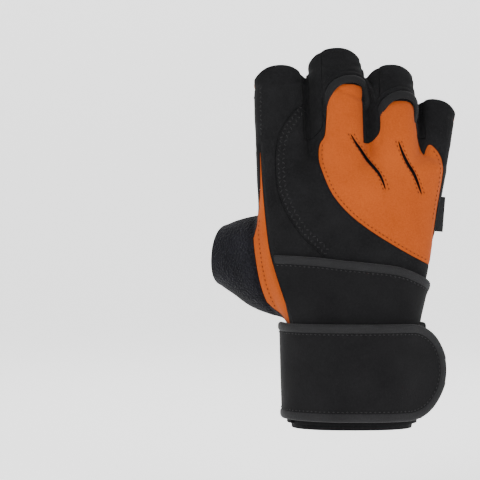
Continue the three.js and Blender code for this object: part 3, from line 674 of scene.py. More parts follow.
def palm_half(shift):
    """Everything on the palm side of the side seams."""
    rings = []
    for up in np.linspace(-0.1, 1.45, 50):
        z = up * HAND_HEIGHT
        near = np.interp(up, [r["up"] for r in SIDE_SEAM], [r["radial"] for r in SIDE_SEAM]) * HAND_DEPTH + shift
        far = np.interp(up, [r["up"] for r in SIDE_SEAM], [r["ulnar"] for r in SIDE_SEAM]) * HAND_DEPTH + shift
        rings.append([
            Vector((-REACH, near, z)), Vector((0.34 * HAND_BREADTH, near, z)), Vector((0.42 * HAND_BREADTH, far, z)),
            Vector((REACH, far, z)), Vector((REACH, REACH, z)), Vector((-REACH, REACH, z)),
        ])
    return loft("palm half", rings)


def wedge(finger, start, end, first, last, grow=0, rounding=0):
    """A pie slice along a finger, between two seam angles and two shares of its curve."""
    rings = []
    first -= grow / finger_frame(finger, first)[6]
    near = first + CROTCH_ROUNDING / finger_frame(finger, first)[6]
    for at in [*np.linspace(first, near, 9), *np.linspace(near, last, 9)[1:]]:
        middle, _, _, _, _, depth, speed = finger_frame(finger, at)
        wide = math.degrees(grow / depth)
        ring = [middle]
        rise = 1 - min(1, (at - first) * speed / rounding + 0.02) if rounding else 0
        opened = math.sqrt(1 - rise * rise)
        centre = (start + end) / 2
        half = ((end - start) / 2 + wide) * opened
        for angle in np.linspace(centre - half, centre + half, 14):
            ring.append(finger_point(finger, at, angle, 4 * MM + grow))
        rings.append(ring)
    return loft("wedge", rings)


def crotch(radial, ulnar, grow):
    return union("crotch", [
        wedge(radial, radial["ulnarBack"], radial["ulnarPalm"], radial["sideFrom"], 1.3, grow, CROTCH_ROUNDING),
        wedge(ulnar, ulnar["radialPalm"], ulnar["radialBack"], ulnar["sideFrom"], 1.3, grow, CROTCH_ROUNDING),
    ])


def band_wedge(finger, grow):
    first = 1 - BAND_HEIGHT / finger_frame(finger, 1)[6]
    return wedge(finger, finger["ulnarPalm"], finger["radialPalm"], first, 1.3, grow)


def wrap_top(angle):
    return column_at(WRAP_EDGE, "angle", "up", angle) * HAND_HEIGHT


def below_line(height_at):
    turn = np.linspace(-152, 204, 90)

    def circle(radius, height):
        return [Vector((radius * math.cos(math.radians(a)), radius * math.sin(math.radians(a)), height(a)))
                for a in turn]

    base = circle(62 * MM, lambda angle: -REACH)
    return loft("below line", [base, circle(62 * MM, height_at), circle(15 * MM, height_at)])


def mouth_tool(finger):
    """Everything past a finger's mouth, whose edge is lower at the finger's sides than at its middle."""
    speed = finger_frame(finger, 1)[6]

    def edge(grow):
        ring = []
        for angle in range(0, 360, 6):
            drop = MOUTH_DROP * math.cos(math.radians(angle)) ** 2
            ring.append(finger_point(finger, 1 - drop / speed, angle, grow))
        return ring

    far = [finger_point(finger, 1 + 20 * MM / speed, angle, MM) for angle in range(0, 360, 6)]
    return loft("mouth", [edge(-5 * MM), edge(MM), far])


def thumb_mouth_tool():
    """Everything past the thumb's mouth."""
    return loft("mouth", [[thumb_point(step, angle, 3 * MM) for angle in range(0, 360, 6)]
                          for step in (3, 3 + 20 * MM)])


mouths = [mouth_tool(finger) for finger in FINGERS] + [thumb_mouth_tool()]
shell = cut("shell", hand, ("DIFFERENCE", lining), *(("DIFFERENCE", tool) for tool in mouths))
wrist_tool = below_line(lambda angle: wrap_top(angle) - WRAP_TUCK)
wall = cut("wall", shell, ("DIFFERENCE", wrist_tool))
print("hand wall:", len(wall.data.polygons), "faces")

# %% Panels
SIDES = [(FINGERS[0], FINGERS[1]), (FINGERS[1], FINGERS[2]), (FINGERS[2], FINGERS[3])]
front = cut("front", wall, ("INTERSECT", palm_half(0)))
back = cut("back", wall, ("DIFFERENCE", palm_half(-GAP)))
side_cuts = union("side cuts", [crotch(a, b, GAP) for a, b in SIDES])
band_cuts = union("band cuts", [band_wedge(finger, GAP) for finger in FINGERS])
trim_cuts = union("trim cuts", [palm_prism(HEEL_TRIM, GAP), palm_prism(HEEL_TRIM_SIDE, GAP)])
thumb_region = union("thumb", [palm_prism(THUMB_PALM), back_prism(THUMB_BACK)])
thumb_cuts = union("thumb cuts", [palm_prism(THUMB_PALM, GAP), back_prism(THUMB_BACK, GAP)])
panel_tool = back_prism(BACK_PANEL)
panel_cuts = back_prism(BACK_PANEL, GAP)
palm_tool = palm_prism(PALM_PANEL)
palm_cuts = palm_prism(PALM_PANEL, GAP)
SLIT_WIDTH = 1.9 * MM


def slit_prism(rows):
    line = stepped(rounded(flat(rows), False), 1.2 * MM)
    sides = [[], []]
    for i, point in enumerate(line):
        half = SLIT_WIDTH / 2 * math.sin(math.pi * i / (len(line) - 1)) ** 0.5 if 0 < i < len(line) - 1 else 0
        along = (line[min(i + 1, len(line) - 1)] - line[max(i - 1, 0)]).normalized()
        normal = Vector((-along.z, 0, along.x))
        sides[0].append(point + normal * half)
        sides[1].append(point - normal * half)
    return prism("slit", sides[0] + sides[1][-2:0:-1], -REACH, 0)


slits = [slit_prism(SLIT_MIDDLE), slit_prism(SLIT_RING)]
panels = {
    "palm_panel": cut("palm_panel", front, ("INTERSECT", palm_tool), ("DIFFERENCE", side_cuts),
                      ("DIFFERENCE", band_cuts), ("DIFFERENCE", trim_cuts), ("DIFFERENCE", thumb_cuts)),
    "back_panel": cut("back_panel", back, ("INTERSECT", panel_tool), ("DIFFERENCE", side_cuts),
                      ("DIFFERENCE", slits[0]), ("DIFFERENCE", slits[1])),
    "radial_strip": cut("radial_strip", back, ("INTERSECT", back_prism(RADIAL_STRIP)), ("DIFFERENCE", thumb_cuts)),
    "centre_back": cut("centre_back", back, ("INTERSECT", back_prism(CENTRE_BACK)), ("DIFFERENCE", side_cuts),
                       ("DIFFERENCE", panel_cuts)),
    "ulnar_stripe": cut("ulnar_stripe", front, ("INTERSECT", stripe_prism(0)),
                        ("DIFFERENCE", band_cuts), ("DIFFERENCE", palm_cuts)),
    "thumb_sleeve": cut("thumb_sleeve", wall, ("INTERSECT", thumb_region), ("DIFFERENCE", trim_cuts)),
    "heel_trim": cut("heel_trim", front, ("INTERSECT", palm_prism(HEEL_TRIM))),
    "heel_trim_side": cut("heel_trim_side", front, ("INTERSECT", palm_prism(HEEL_TRIM_SIDE))),
}
for radial, ulnar in SIDES:
    name = f"side_{radial['name']}_{ulnar['name']}"
    panels[name] = cut(name, wall, ("INTERSECT", crotch(radial, ulnar, 0)))
for finger in FINGERS:
    name = f"mouth_band_{finger['name']}"
    panels[name] = cut(name, shell, ("INTERSECT", band_wedge(finger, 0)), ("DIFFERENCE", side_cuts))


# %% [markdown]
# What is left of the back falls apart into the four finger backs. They are cut from one remainder with upright
# slabs between the fingers.

# %% Finger backs
INSIDE_SHARE = 0.2


def slab(left, right, low):
    corners = [(left, low), (right, low), (right, 2), (left, 2)]
    return prism("slab", flat(corners), -REACH, REACH)


half_shifted = palm_half(-GAP)
palm_side_cuts = cut("palm side cuts", palm_cuts, ("INTERSECT", half_shifted))
stripe_cuts = cut("stripe cuts", stripe_prism(GAP), ("INTERSECT", half_shifted))
rest = cut("rest", wall, ("DIFFERENCE", side_cuts), ("DIFFERENCE", band_cuts), ("DIFFERENCE", panel_cuts),
           ("DIFFERENCE", back_prism(CENTRE_BACK, GAP)), ("DIFFERENCE", back_prism(RADIAL_STRIP, GAP)),
           ("DIFFERENCE", thumb_cuts), ("DIFFERENCE", palm_side_cuts), ("DIFFERENCE", stripe_cuts),
           ("DIFFERENCE", trim_cuts))
SLABS = {"index_back": (-0.9, 0.05, 0), "middle_back": (-0.22, 0.09, 1), "ring_back": (0.09, 0.4, 0.96),
         "little_back": (0.33, 0.9, 0)}
for name, limits in SLABS.items():
    panels[name] = cut(name, rest, ("INTERSECT", slab(*limits)))
for made in panels.values():
    keep_largest(made)
coarse = copy_of(lining, "coarse")
coarser = coarse.modifiers.new("coarser", "DECIMATE")
coarser.ratio = INSIDE_SHARE
apply_modifiers(coarse)
inside = cut("inside", offset_copy(coarse, "inside", -GAP), ("DIFFERENCE", offset_copy(coarse, "inside", -4 * GAP)),
             *(("DIFFERENCE", tool) for tool in mouths), ("DIFFERENCE", wrist_tool))
keep_largest(inside)
print("panels:", {name: len(made.data.polygons) for name, made in panels.items()})

# %% [markdown]
# ## Padded palm
# Foam lies under the suede in three places. Each pad is the same surface raised inside its outline: it climbs
# quickly from its stitched edge and is nearly level on top.

# %% Pads
def raised_copy(name, outline_points, height):
    """The form, raised inside an outline that is seen from the palm."""
    line = stepped(outline_points + outline_points[:1], 0.5 * MM)
    edge = KDTree(len(line))
    for number, point in enumerate(line):
        edge.insert((point.x, 0, point.z), number)
    edge.balance()
    xs = np.array([point.x for point in line])
    zs = np.array([point.z for point in line])
    copied = copy_of(hand, name)
    bm = bmesh.new()
    bm.from_mesh(copied.data)
    bm.normal_update()
    low, high = (min(xs), min(zs)), (max(xs), max(zs))
    for vert in bm.verts:
        if vert.co.y < 0 or not (low[0] < vert.co.x < high[0] and low[1] < vert.co.z < high[1]):
            continue
        crossing = (zs[:-1] > vert.co.z) != (zs[1:] > vert.co.z)
        at = xs[:-1] + (vert.co.z - zs[:-1]) / np.where(zs[1:] == zs[:-1], 1, zs[1:] - zs[:-1]) * (xs[1:] - xs[:-1])
        if np.count_nonzero(crossing & (vert.co.x < at)) % 2:
            distance = edge.find((vert.co.x, 0, vert.co.z))[2]
            vert.co += vert.normal * height * (1 - math.exp(-distance / (1.1 * MM)))
    bm.to_mesh(copied.data)
    bm.free()
    return copied


pad_base = offset_copy(hand, "pad base", 0.1 * MM)
for name, rows in PADS.items():
    points = rounded(flat(rows))
    lifted = raised_copy("lifted", points, PAD_HEIGHT)
    panels[name] = cut(name, lifted, ("INTERSECT", prism("pad", points, 0, REACH)), ("DIFFERENCE", pad_base))
    keep_largest(panels[name])
    remove(lifted)
print("pads:", list(PADS))

# %% [markdown]
# ## Wrist wrap, strap and bindings
# The wrap goes once round the wrist, and the strap lies over it and ends in a rounded tab. Both are flat bands
# with a folded tape sewn over their edges, so each is a loft of band sections and each tape is a rounded
# profile swept along the edge.

# %% Wrap and strap
STRAP_START = -60
STRAP_LIFT, STRAP_LIFTED, STRAP_LEAVES = 205, 282, 315
STRAP_CLEAR = GAP + WRAP_THICKNESS + GAP + STRAP_THICKNESS / 2


def band_section(place, half, thickness, count=16):
    """A closed section of a flat band: place(height, offset) gives its points."""
    heights = [half * math.sin(math.pi / 2 * t) for t in np.linspace(-1, 1, count)]
    outer = [place(height, thickness / 2) for height in heights]
    inner = [place(height, -thickness / 2) for height in reversed(heights)]
    return outer + inner


def strap_point(angle, z, offset):
    share = np.interp(z / CUFF_HEIGHT, [0, 1], [CUFF_TAPER, 1])
    turn = math.radians(angle)
    t = min(max((angle - STRAP_LIFT) / (STRAP_LIFTED - STRAP_LIFT), 0), 1)
    clear = STRAP_CLEAR + t * t * (3 - 2 * t) * (STRAP_THICKNESS + GAP) + offset
    return Vector((
        (share * WRIST_BREADTH / 2 + clear) * power(math.cos(turn)),
        (share * WRIST_DEPTH / 2 + clear) * power(math.sin(turn)),
        z,
    ))


def strap_place(angle, past, height, offset):
    """A point of the strap: its angle, how far past its last touch, its height and its offset."""
    dip = STRAP_DIP * max(0, math.sin(math.radians(angle))) ** 2
    z = STRAP_BOTTOM + STRAP_HEIGHT / 2 + height - dip
    ripple = noise.noise(Vector((angle * 0.035, past * 40, z * 45))) * 0.35 * MM
    along = (strap_point(angle + 1, z, 0) - strap_point(angle - 1, z, 0)).normalized()
    return strap_point(angle, z, offset + ripple) + along * past


def tab_half(distance, inset=0):
    """Half the strap's height at a distance from the tip of its rounded end."""
    share = 1 - min(1, distance / TAB_ROUNDING)
    return (STRAP_HEIGHT / 2 - inset) * math.sqrt(max(0.0001, 1 - share * share))


strap_rings = []
for angle in np.arange(STRAP_START, STRAP_LEAVES, 3):
    strap_rings.append(band_section(
        lambda height, offset: strap_place(angle, 0, height, offset), STRAP_HEIGHT / 2 - MM, STRAP_THICKNESS))
for past in np.sin(np.linspace(0, math.pi / 2, 18)) * (STRAP_FREE_LENGTH - MM):
    half = tab_half(STRAP_FREE_LENGTH - past + 0.3 * MM) - MM
    strap_rings.append(band_section(
        lambda height, offset: strap_place(STRAP_LEAVES, past, height, offset), max(half, MM), STRAP_THICKNESS))
strap = loft("strap", strap_rings)


def swept(name, path, width, thickness, sides=14, closed=False):
    """A tape swept along a path of (point, normal, across) rows."""
    rings = []
    for point, normal, across in path:
        ring = []
        for i in range(sides):
            turn = 2 * math.pi * i / sides
            ring.append(point + across * width / 2 * power(math.cos(turn)) + normal * thickness / 2 * power(math.sin(turn)))
        rings.append(ring)
    return loft(name, rings, closed)


def tape_row(place, across_step):
    """A path row from a place function of (height change, offset)."""
    point = place(0, 0)
    across = (place(across_step, 0) - place(-across_step, 0)).normalized()
    normal = place(0, MM) - place(0, 0)
    return point, normal.normalized(), across


TAPE_PROUD = 0.75 * MM
tape_path = []
edge_height = STRAP_HEIGHT / 2 - TAPE_WIDTH / 2
TAPE_FROM = -15
for angle in np.arange(TAPE_FROM, STRAP_LEAVES, 3):
    tape_path.append(tape_row(
        lambda step, offset: strap_place(angle, 0, edge_height + step, offset + TAPE_PROUD / 2), MM))
tab_middle = STRAP_FREE_LENGTH - TAB_ROUNDING
for turn in np.linspace(math.pi / 2, -math.pi / 2, 40):
    def tab_edge(step, offset):
        radius = TAB_ROUNDING - TAPE_WIDTH / 2 + step
        past = tab_middle + radius * math.cos(turn)
        height = (edge_height + step) * math.sin(turn)
        return strap_place(STRAP_LEAVES, past, height, offset + TAPE_PROUD / 2)
    tape_path.append(tape_row(tab_edge, MM))
for angle in np.arange(TAPE_FROM, STRAP_LEAVES, 3)[::-1]:
    tape_path.append(tape_row(
        lambda step, offset: strap_place(angle, 0, -edge_height - step, offset + TAPE_PROUD / 2), MM))
strap_tape = swept("strap_tape", tape_path, TAPE_WIDTH, STRAP_THICKNESS + TAPE_PROUD)


def wrap_start(z):
    """The angle where the wrap begins at a height, along the slanted strip on the thumb side."""
    up = z / HAND_HEIGHT
    x = np.interp(up, [0.3, 0.387, 0.431, 0.502, 0.573, 0.636], [-0.3, -0.325, -0.352, -0.389, -0.422, -0.448])
    left = column_at(BODY_SECTIONS, "up", "left", up)
    right = column_at(BODY_SECTIONS, "up", "right", up)
    half = (right - left) / 2 + (GAP + WRAP_THICKNESS + START_LIFT) / HAND_BREADTH
    share = min(1, max(-1, (x + START_SHIFT / HAND_BREADTH - (left + right) / 2) / half))
    return -math.degrees(math.acos(math.copysign(abs(share) ** (SECTION_POWER / 2), share)))


START_LIFT = 1.4 * MM
START_SHIFT = 0.4 * MM


def wrap_place(angle, share, offset):
    """A point of the wrap at a nominal angle and a share of its height there."""
    z = WRAP_BOTTOM + share * (wrap_top(angle) - WRAP_BOTTOM)
    u = (angle + 152) / 352
    real = angle + (wrap_start(z) + 152) * (1 - u) ** 6
    ripple = noise.noise(Vector((angle * 0.03, 5, z * 50))) * 0.3 * MM
    lift = START_LIFT * (1 - u) ** 12
    return body_point(real, z, GAP + WRAP_THICKNESS / 2 + offset + ripple + lift)


WRAP_ANGLES = np.linspace(-152, 200, 120)
wrap_rings = []
for angle in WRAP_ANGLES:
    shares = np.linspace(0, 0.985, 18)
    outer = [wrap_place(angle, share, WRAP_THICKNESS / 2) for share in shares]
    inner = [wrap_place(angle, share, -WRAP_THICKNESS / 2) for share in reversed(shares)]
    wrap_rings.append(outer + inner)
wrap_layer = loft("wrap_layer", wrap_rings)
wrap_path = []
for angle in WRAP_ANGLES[1:-8]:
    height = wrap_top(angle) - WRAP_BOTTOM
    wrap_path.append(tape_row(
        lambda step, offset: wrap_place(angle, 1 - (TAPE_WIDTH / 2 - step) / height, offset + TAPE_PROUD / 2), MM))
wrap_tape = swept("wrap_tape", wrap_path, TAPE_WIDTH, WRAP_THICKNESS + TAPE_PROUD)

cuff_rings = []
for nominal in np.linspace(0, 360, 97)[:-1]:
    place = body_point(nominal, CUFF_HEIGHT, 0)
    turn = math.degrees(math.atan2(place.y, place.x))
    top = wrap_top(turn if turn > -152 else turn + 360) - WRAP_TUCK - 2 * GAP
    heights = [0.6 * MM, 0.15 * MM, *np.linspace(1.5 * MM, top, 12)]
    offsets = [-0.6 * MM, -0.25 * MM] + [0] * 12
    outer = [body_point(nominal, z, offset) for z, offset in zip(heights, offsets)]
    inner = [body_point(nominal, z, -WALL - offset) for z, offset in zip(reversed(heights), reversed(offsets))]
    cuff_rings.append(outer + inner)
inner_cuff = loft("inner_cuff", cuff_rings, closed=True)
panels.update(strap=strap, strap_tape=strap_tape, wrap_layer=wrap_layer, wrap_tape=wrap_tape, inner_cuff=inner_cuff)
print("wrap and strap:", sum(len(panels[name].data.polygons) for name in ("strap", "wrap_layer", "inner_cuff")))

# %% [markdown]
# ## Pull tabs and tag
# Behind the middle and ring fingers a loop of ribbed tape helps to pull the glove off. It is a tape swept along
# an arch on the finger's back, standing away from it on the little-finger side.

# %% Pull tabs and tag
MIDDLE_TAB = [(-0.14, 1.13), (-0.14, 1.175), (-0.112, 1.223), (-0.044, 1.243), (0.028, 1.243), (0.08, 1.214),
              (0.086, 1.169), (0.07, 1.13)]
RING_TAB = [(0.146, 1.095), (0.148, 1.137), (0.178, 1.168), (0.235, 1.188), (0.289, 1.188), (0.34, 1.166),
            (0.352, 1.121), (0.335, 1.085)]
TAB_WIDTH = 4.4 * MM
TAB_THICKNESS = 2 * MM
HEM_SHIFT = 3.2 * MM
RIB_STEP = 0.6 * MM
RIB_HEIGHT = 0.16 * MM


def evened(rows, times=40):
    """Rows of (point, normal) without the cloth's small dips, so that a tape lies smoothly on them."""
    for _ in range(times):
        inner = [((a[0] + b[0] * 2 + c[0]) / 4, (a[1] + b[1] * 2 + c[1]).normalized())
                 for a, b, c in zip(rows, rows[1:], rows[2:])]
        rows = [rows[0], *inner, rows[-1]]
    return rows


def pull_tab(name, rows, width, shift, lowest, highest):
    """A tape along an arch on a finger's back; its ends tuck in and its ulnar side stands away."""
    line = stepped(beside(rounded(flat(rows), False), shift), RIB_STEP)
    rows_on = evened([row for row in cast(skin_tree, line, BACK) if row[0].y < 0])
    path = []
    for i, (place, normal) in enumerate(rows_on):
        along = (rows_on[min(i + 1, len(rows_on) - 1)][0] - rows_on[max(i - 1, 0)][0]).normalized()
        share = i / (len(rows_on) - 1)
        lift = lowest + (highest - lowest) * math.sin(math.pi * share ** 1.4) + (RIB_HEIGHT if i % 2 else 0)
        path.append((place + normal * lift, normal, along.cross(normal).normalized()))
    return swept(name, path, width, TAB_THICKNESS)


panels["pull_tab_middle"] = pull_tab("pull_tab_middle", MIDDLE_TAB, TAB_WIDTH, 0, -1.3 * MM, 2 * MM)
panels["pull_tab_ring"] = pull_tab("pull_tab_ring", RING_TAB, TAB_WIDTH, 0, -1.3 * MM, 2 * MM)
hems = {
    "finger_hem_middle": pull_tab("finger_hem_middle", MIDDLE_TAB[1:-1], 2.6 * MM, HEM_SHIFT, -0.9 * MM, 0.9 * MM),
    "finger_hem_ring": pull_tab("finger_hem_ring", RING_TAB[1:-1], 2.6 * MM, HEM_SHIFT, -0.9 * MM, 0.9 * MM),
}
tag_points = flat([(0.43, 0.83), (0.506, 0.826), (0.491, 0.7), (0.43, 0.704)])
tag = prism("side_tag", tag_points, -1.5 * MM, -0.2 * MM)
tag_bevel = tag.modifiers.new("edge", "BEVEL")
tag_bevel.width = 0.3 * MM
tag_bevel.segments = 2
apply_modifiers(tag)
panels["side_tag"] = cut("side_tag", tag, ("DIFFERENCE", hand))
remove(tag)
print("tabs and tag made")

# %% [markdown]
# ## Stitching
# A stitch is a short rounded thread lying along its seam. Each row is a line beside a seam, cast on the cloth,
# with a small stretched ball at every step. Where the real seam is an overlock, every other stitch leans.

# %% Stitches
def stitch_rows(name, lines, lean=0, length=STITCH_LENGTH, sink=0.0):
    """One object with a stitch at every step of each line of (point, normal) rows."""
    bm = bmesh.new()
    for line in lines:
        every = max(1, round(STITCH_STEP / LINE_STEP))
        for i in range(1, len(line) - 1, every):
            place, normal = line[i]
            along = line[i + 1][0] - line[i - 1][0]
            if along.length > 4 * LINE_STEP or along.length < 1e-6:
                continue
            along = (along - normal * along.dot(normal)).normalized()
            side = normal.cross(along)
            tilt = math.radians(lean if (i // every) % 2 else -lean)
            direction = along * math.cos(tilt) + side * math.sin(tilt)
            cross = normal.cross(direction)
            matrix = Matrix((
                (*(direction * length / 2), 0), (*(cross * STITCH_WIDTH / 2), 0), (*(normal * STITCH_WIDTH / 2.4), 0),
                (0, 0, 0, 1),
            )).transposed()
            matrix.translation = place + normal * (0.12 * MM - sink)
            bmesh.ops.create_icosphere(bm, subdivisions=1, radius=1, matrix=matrix)
    return new_object(name, bm)


def row_beside(rows, side, shift):
    return cast(skin_tree, stepped(beside(rounded(flat(rows), False), shift), LINE_STEP), side)


def ring_beside(rows, side, grow):
    points = grown(rounded(flat(rows)), grow)
    return cast(skin_tree, stepped(points + points[:1], LINE_STEP), side)


orange_rows = [
    row_beside(BACK_PANEL[4:15], BACK, 1.7 * MM),
    row_beside(BACK_PANEL[17:24], BACK, 1.7 * MM),
    row_beside(RADIAL_STRIP[4:10], BACK, 3.2 * MM),
    row_beside([(x - 0.014, up) for x, up in SLIT_MIDDLE], BACK, 0),
    row_beside([(x + 0.018, up) for x, up in SLIT_MIDDLE], BACK, 0),
    row_beside([(x - 0.016, up) for x, up in SLIT_RING], BACK, 0),
    row_beside([(x + 0.016, up) for x, up in SLIT_RING], BACK, 0),
]
black_rows = [
    row_beside(CENTRE_BACK[:11], BACK, 1.6 * MM),
    row_beside(CENTRE_BACK[:11], BACK, 4.2 * MM),
    row_beside([(-0.49, 1.22), (-0.49, 1.12), (-0.486, 1.04)], BACK, 0),
]
palm_rows = [ring_beside(rows, PALM, grow) for rows in PADS.values() for grow in (2.4 * MM, 4.3 * MM)]
palm_rows += [
    row_beside(PALM_PANEL[1:12], PALM, 2 * MM),
    row_beside([(0.25, 0.475), (0.089, 0.478), (-0.069, 0.474), (-0.2, 0.469)], PALM, 0),
    row_beside([(0.25, 0.487), (0.089, 0.49), (-0.069, 0.486), (-0.2, 0.481)], PALM, 0),
    row_beside([(-0.262, 0.62), (-0.262, 0.56), (-0.245, 0.49)], PALM, 0),
    row_beside(THUMB_PALM[3:13], PALM, 1.8 * MM),
]
for finger in FINGERS:
    speed = finger_frame(finger, 1)[6]
    high = 1 - (BAND_HEIGHT + 3 * MM) / speed
    low = high - 9 * MM / speed
    frames = [[(high, max(50, finger["ulnarPalm"] + 8)), (high, finger["radialPalm"] - 8)]]
    if finger["name"] != "little":
        frames.append([(high, 79), (high, 101), (low, 101), (low, 79), (high, 79)])
    for corners in frames:
        points = stepped([finger_point(finger, at, angle, 0) for at, angle in corners], LINE_STEP)
        palm_rows.append([skin_tree.find_nearest(point)[:2] for point in points])
stitching = {
    "stitching_orange": (stitch_rows("stitching_orange", orange_rows), "orange_cloth"),
    "stitching_back": (stitch_rows("stitching_back", black_rows, 50, 1.9 * MM), "stretch_cloth"),
    "stitching_palm": (stitch_rows("stitching_palm", palm_rows, 40, 1.8 * MM), "palm_suede"),
}


def tape_stitches(name, path_rows):
    line = []
    for place, normal, _ in path_rows:
        line.append((place, normal))
    points = stepped([place for place, _ in line], LINE_STEP)
    normals = KDTree(len(line))
    for number, (place, _) in enumerate(line):
        normals.insert(place, number)
    normals.balance()
    return stitch_rows(name, [[(point, line[normals.find(point)[1]][1]) for point in points]])


strap_line = []
stitch_height = STRAP_HEIGHT / 2 - TAPE_WIDTH - 0.6 * MM
skin_offset = STRAP_THICKNESS / 2
for angle in np.arange(TAPE_FROM, STRAP_LEAVES, 3):
    strap_line.append(tape_row(
        lambda step, offset: strap_place(angle, 0, stitch_height + step, offset + skin_offset), MM))
for turn in np.linspace(math.pi / 2, -math.pi / 2, 40):
    def tab_line(step, offset):
        past = tab_middle + (TAB_ROUNDING - TAPE_WIDTH - 0.6 * MM + step) * math.cos(turn)
        height = (stitch_height + step) * math.sin(turn)
        return strap_place(STRAP_LEAVES, past, height, offset + skin_offset)
    strap_line.append(tape_row(tab_line, MM))
for angle in np.arange(TAPE_FROM, STRAP_LEAVES, 3)[::-1]:
    strap_line.append(tape_row(
        lambda step, offset: strap_place(angle, 0, -stitch_height - step, offset + skin_offset), MM))
stitching["stitching_strap"] = (tape_stitches("stitching_strap", strap_line), "wrap_cloth")
wrap_line = []
for angle in WRAP_ANGLES[1:-8]:
    height = wrap_top(angle) - WRAP_BOTTOM
    wrap_line.append(tape_row(
        lambda step, offset: wrap_place(angle, 1 - (TAPE_WIDTH + 0.6 * MM - step) / height,
                                        offset + WRAP_THICKNESS / 2), MM))
stitching["stitching_wrap"] = (tape_stitches("stitching_wrap", wrap_line), "wrap_cloth")
print("stitching:", {name: len(made.data.polygons) for name, (made, _) in stitching.items()})

# %% [markdown]
# ## Cloth finishes
# Two shader groups serve every cloth. One gives a fine uneven tone, the other the height of its weave, nap or
# loops. Each material places them with its own values, and its sheen and colour stay on its own shader.

# %% Shader groups
def new_group(name, inputs, outputs):
    group = bpy.data.node_groups.new(name, "ShaderNodeTree")
    for socket, kind, value in inputs:
        made = group.interface.new_socket(name=socket, in_out="INPUT", socket_type=kind)
        made.default_value = value
    for socket, kind in outputs:
        group.interface.new_socket(name=socket, in_out="OUTPUT", socket_type=kind)
    return group, group.nodes.new("NodeGroupInput"), group.nodes.new("NodeGroupOutput")


def add_node(tree, kind, inputs=None, **settings):
    node = tree.nodes.new(kind)
    for name, value in settings.items():
        setattr(node, name, value)
    for socket, value in (inputs or {}).items():
        if isinstance(value, bpy.types.NodeSocket):
            tree.links.new(value, node.inputs[socket])
        else:
            node.inputs[socket].default_value = value
    return node


def build_tone_group():
    group, given, out = new_group(
        "Cloth tone",
        [("Colour", "NodeSocketColor", (0.5, 0.5, 0.5, 1)), ("Worn", "NodeSocketColor", (0.6, 0.6, 0.6, 1)),
         ("Patch Scale", "NodeSocketFloat", 60.0), ("Fleck Scale", "NodeSocketFloat", 900.0),
         ("Amount", "NodeSocketFloat", 0.5)],
        [("Colour", "NodeSocketColor")])
    place = add_node(group, "ShaderNodeTexCoord")
    patch = add_node(group, "ShaderNodeTexNoise",
                     {"Vector": place.outputs["Object"], "Scale": given.outputs["Patch Scale"], "Detail": 4.0})
    fleck = add_node(group, "ShaderNodeTexNoise",
                     {"Vector": place.outputs["Object"], "Scale": given.outputs["Fleck Scale"], "Detail": 3.0})
    both = add_node(group, "ShaderNodeMath", {0: patch.outputs["Fac"], 1: fleck.outputs["Fac"]}, operation="ADD")
    spread = add_node(group, "ShaderNodeMapRange",
                      {"Value": both.outputs[0], "From Min": 0.7, "From Max": 1.3, "To Min": 0.0, "To Max": 1.0})
    share = add_node(group, "ShaderNodeMath", {0: spread.outputs["Result"], 1: given.outputs["Amount"]},
                     operation="MULTIPLY")
    mixed = add_node(group, "ShaderNodeMix",
                     {"Factor": share.outputs[0], "A": given.outputs["Colour"], "B": given.outputs["Worn"]},
                     data_type="RGBA")
    group.links.new(mixed.outputs["Result"], out.inputs["Colour"])
    return group


def build_weave_group():
    group, given, out = new_group(
        "Cloth surface",
        [("Thread Scale", "NodeSocketFloat", 1600.0), ("Nap Scale", "NodeSocketFloat", 700.0),
         ("Thread Share", "NodeSocketFloat", 0.5)],
        [("Height", "NodeSocketFloat")])
    place = add_node(group, "ShaderNodeTexCoord")
    cells = add_node(group, "ShaderNodeTexVoronoi",
                     {"Vector": place.outputs["Object"], "Scale": given.outputs["Thread Scale"]})
    nap = add_node(group, "ShaderNodeTexNoise",
                   {"Vector": place.outputs["Object"], "Scale": given.outputs["Nap Scale"], "Detail": 5.0})
    mixed = add_node(group, "ShaderNodeMix",
                     {"Factor": given.outputs["Thread Share"], "A": nap.outputs["Fac"],
                      "B": cells.outputs["Distance"]})
    group.links.new(mixed.outputs["Result"], out.inputs["Height"])
    return group


tone_group = build_tone_group()
surface_group = build_weave_group()


def cloth(name, colour, worn, roughness, sheen, amount=0.6, patch=60.0, fleck=900.0, thread=1600.0, nap=700.0,
          thread_share=0.5, bump=0.3, bump_depth=0.4 * MM):
    material = bpy.data.materials.new(name)
    material.use_nodes = True
    tree = material.node_tree
    shader = tree.nodes["Principled BSDF"]
    tone = add_node(tree, "ShaderNodeGroup", node_tree=tone_group)
    for socket, value in (("Colour", (*colour, 1)), ("Worn", (*worn, 1)), ("Patch Scale", patch),
                          ("Fleck Scale", fleck), ("Amount", amount)):
        tone.inputs[socket].default_value = value
    surface = add_node(tree, "ShaderNodeGroup", node_tree=surface_group)
    for socket, value in (("Thread Scale", thread), ("Nap Scale", nap), ("Thread Share", thread_share)):
        surface.inputs[socket].default_value = value
    relief = add_node(tree, "ShaderNodeBump",
                      {"Strength": bump, "Distance": bump_depth, "Height": surface.outputs["Height"]})
    tree.links.new(tone.outputs["Colour"], shader.inputs["Base Color"])
    tree.links.new(relief.outputs["Normal"], shader.inputs["Normal"])
    shader.inputs["Roughness"].default_value = roughness
    shader.inputs["Sheen Weight"].default_value = sheen
    shader.inputs["Sheen Roughness"].default_value = 0.5
    shader.inputs["Specular IOR Level"].default_value = 0.09
    return material


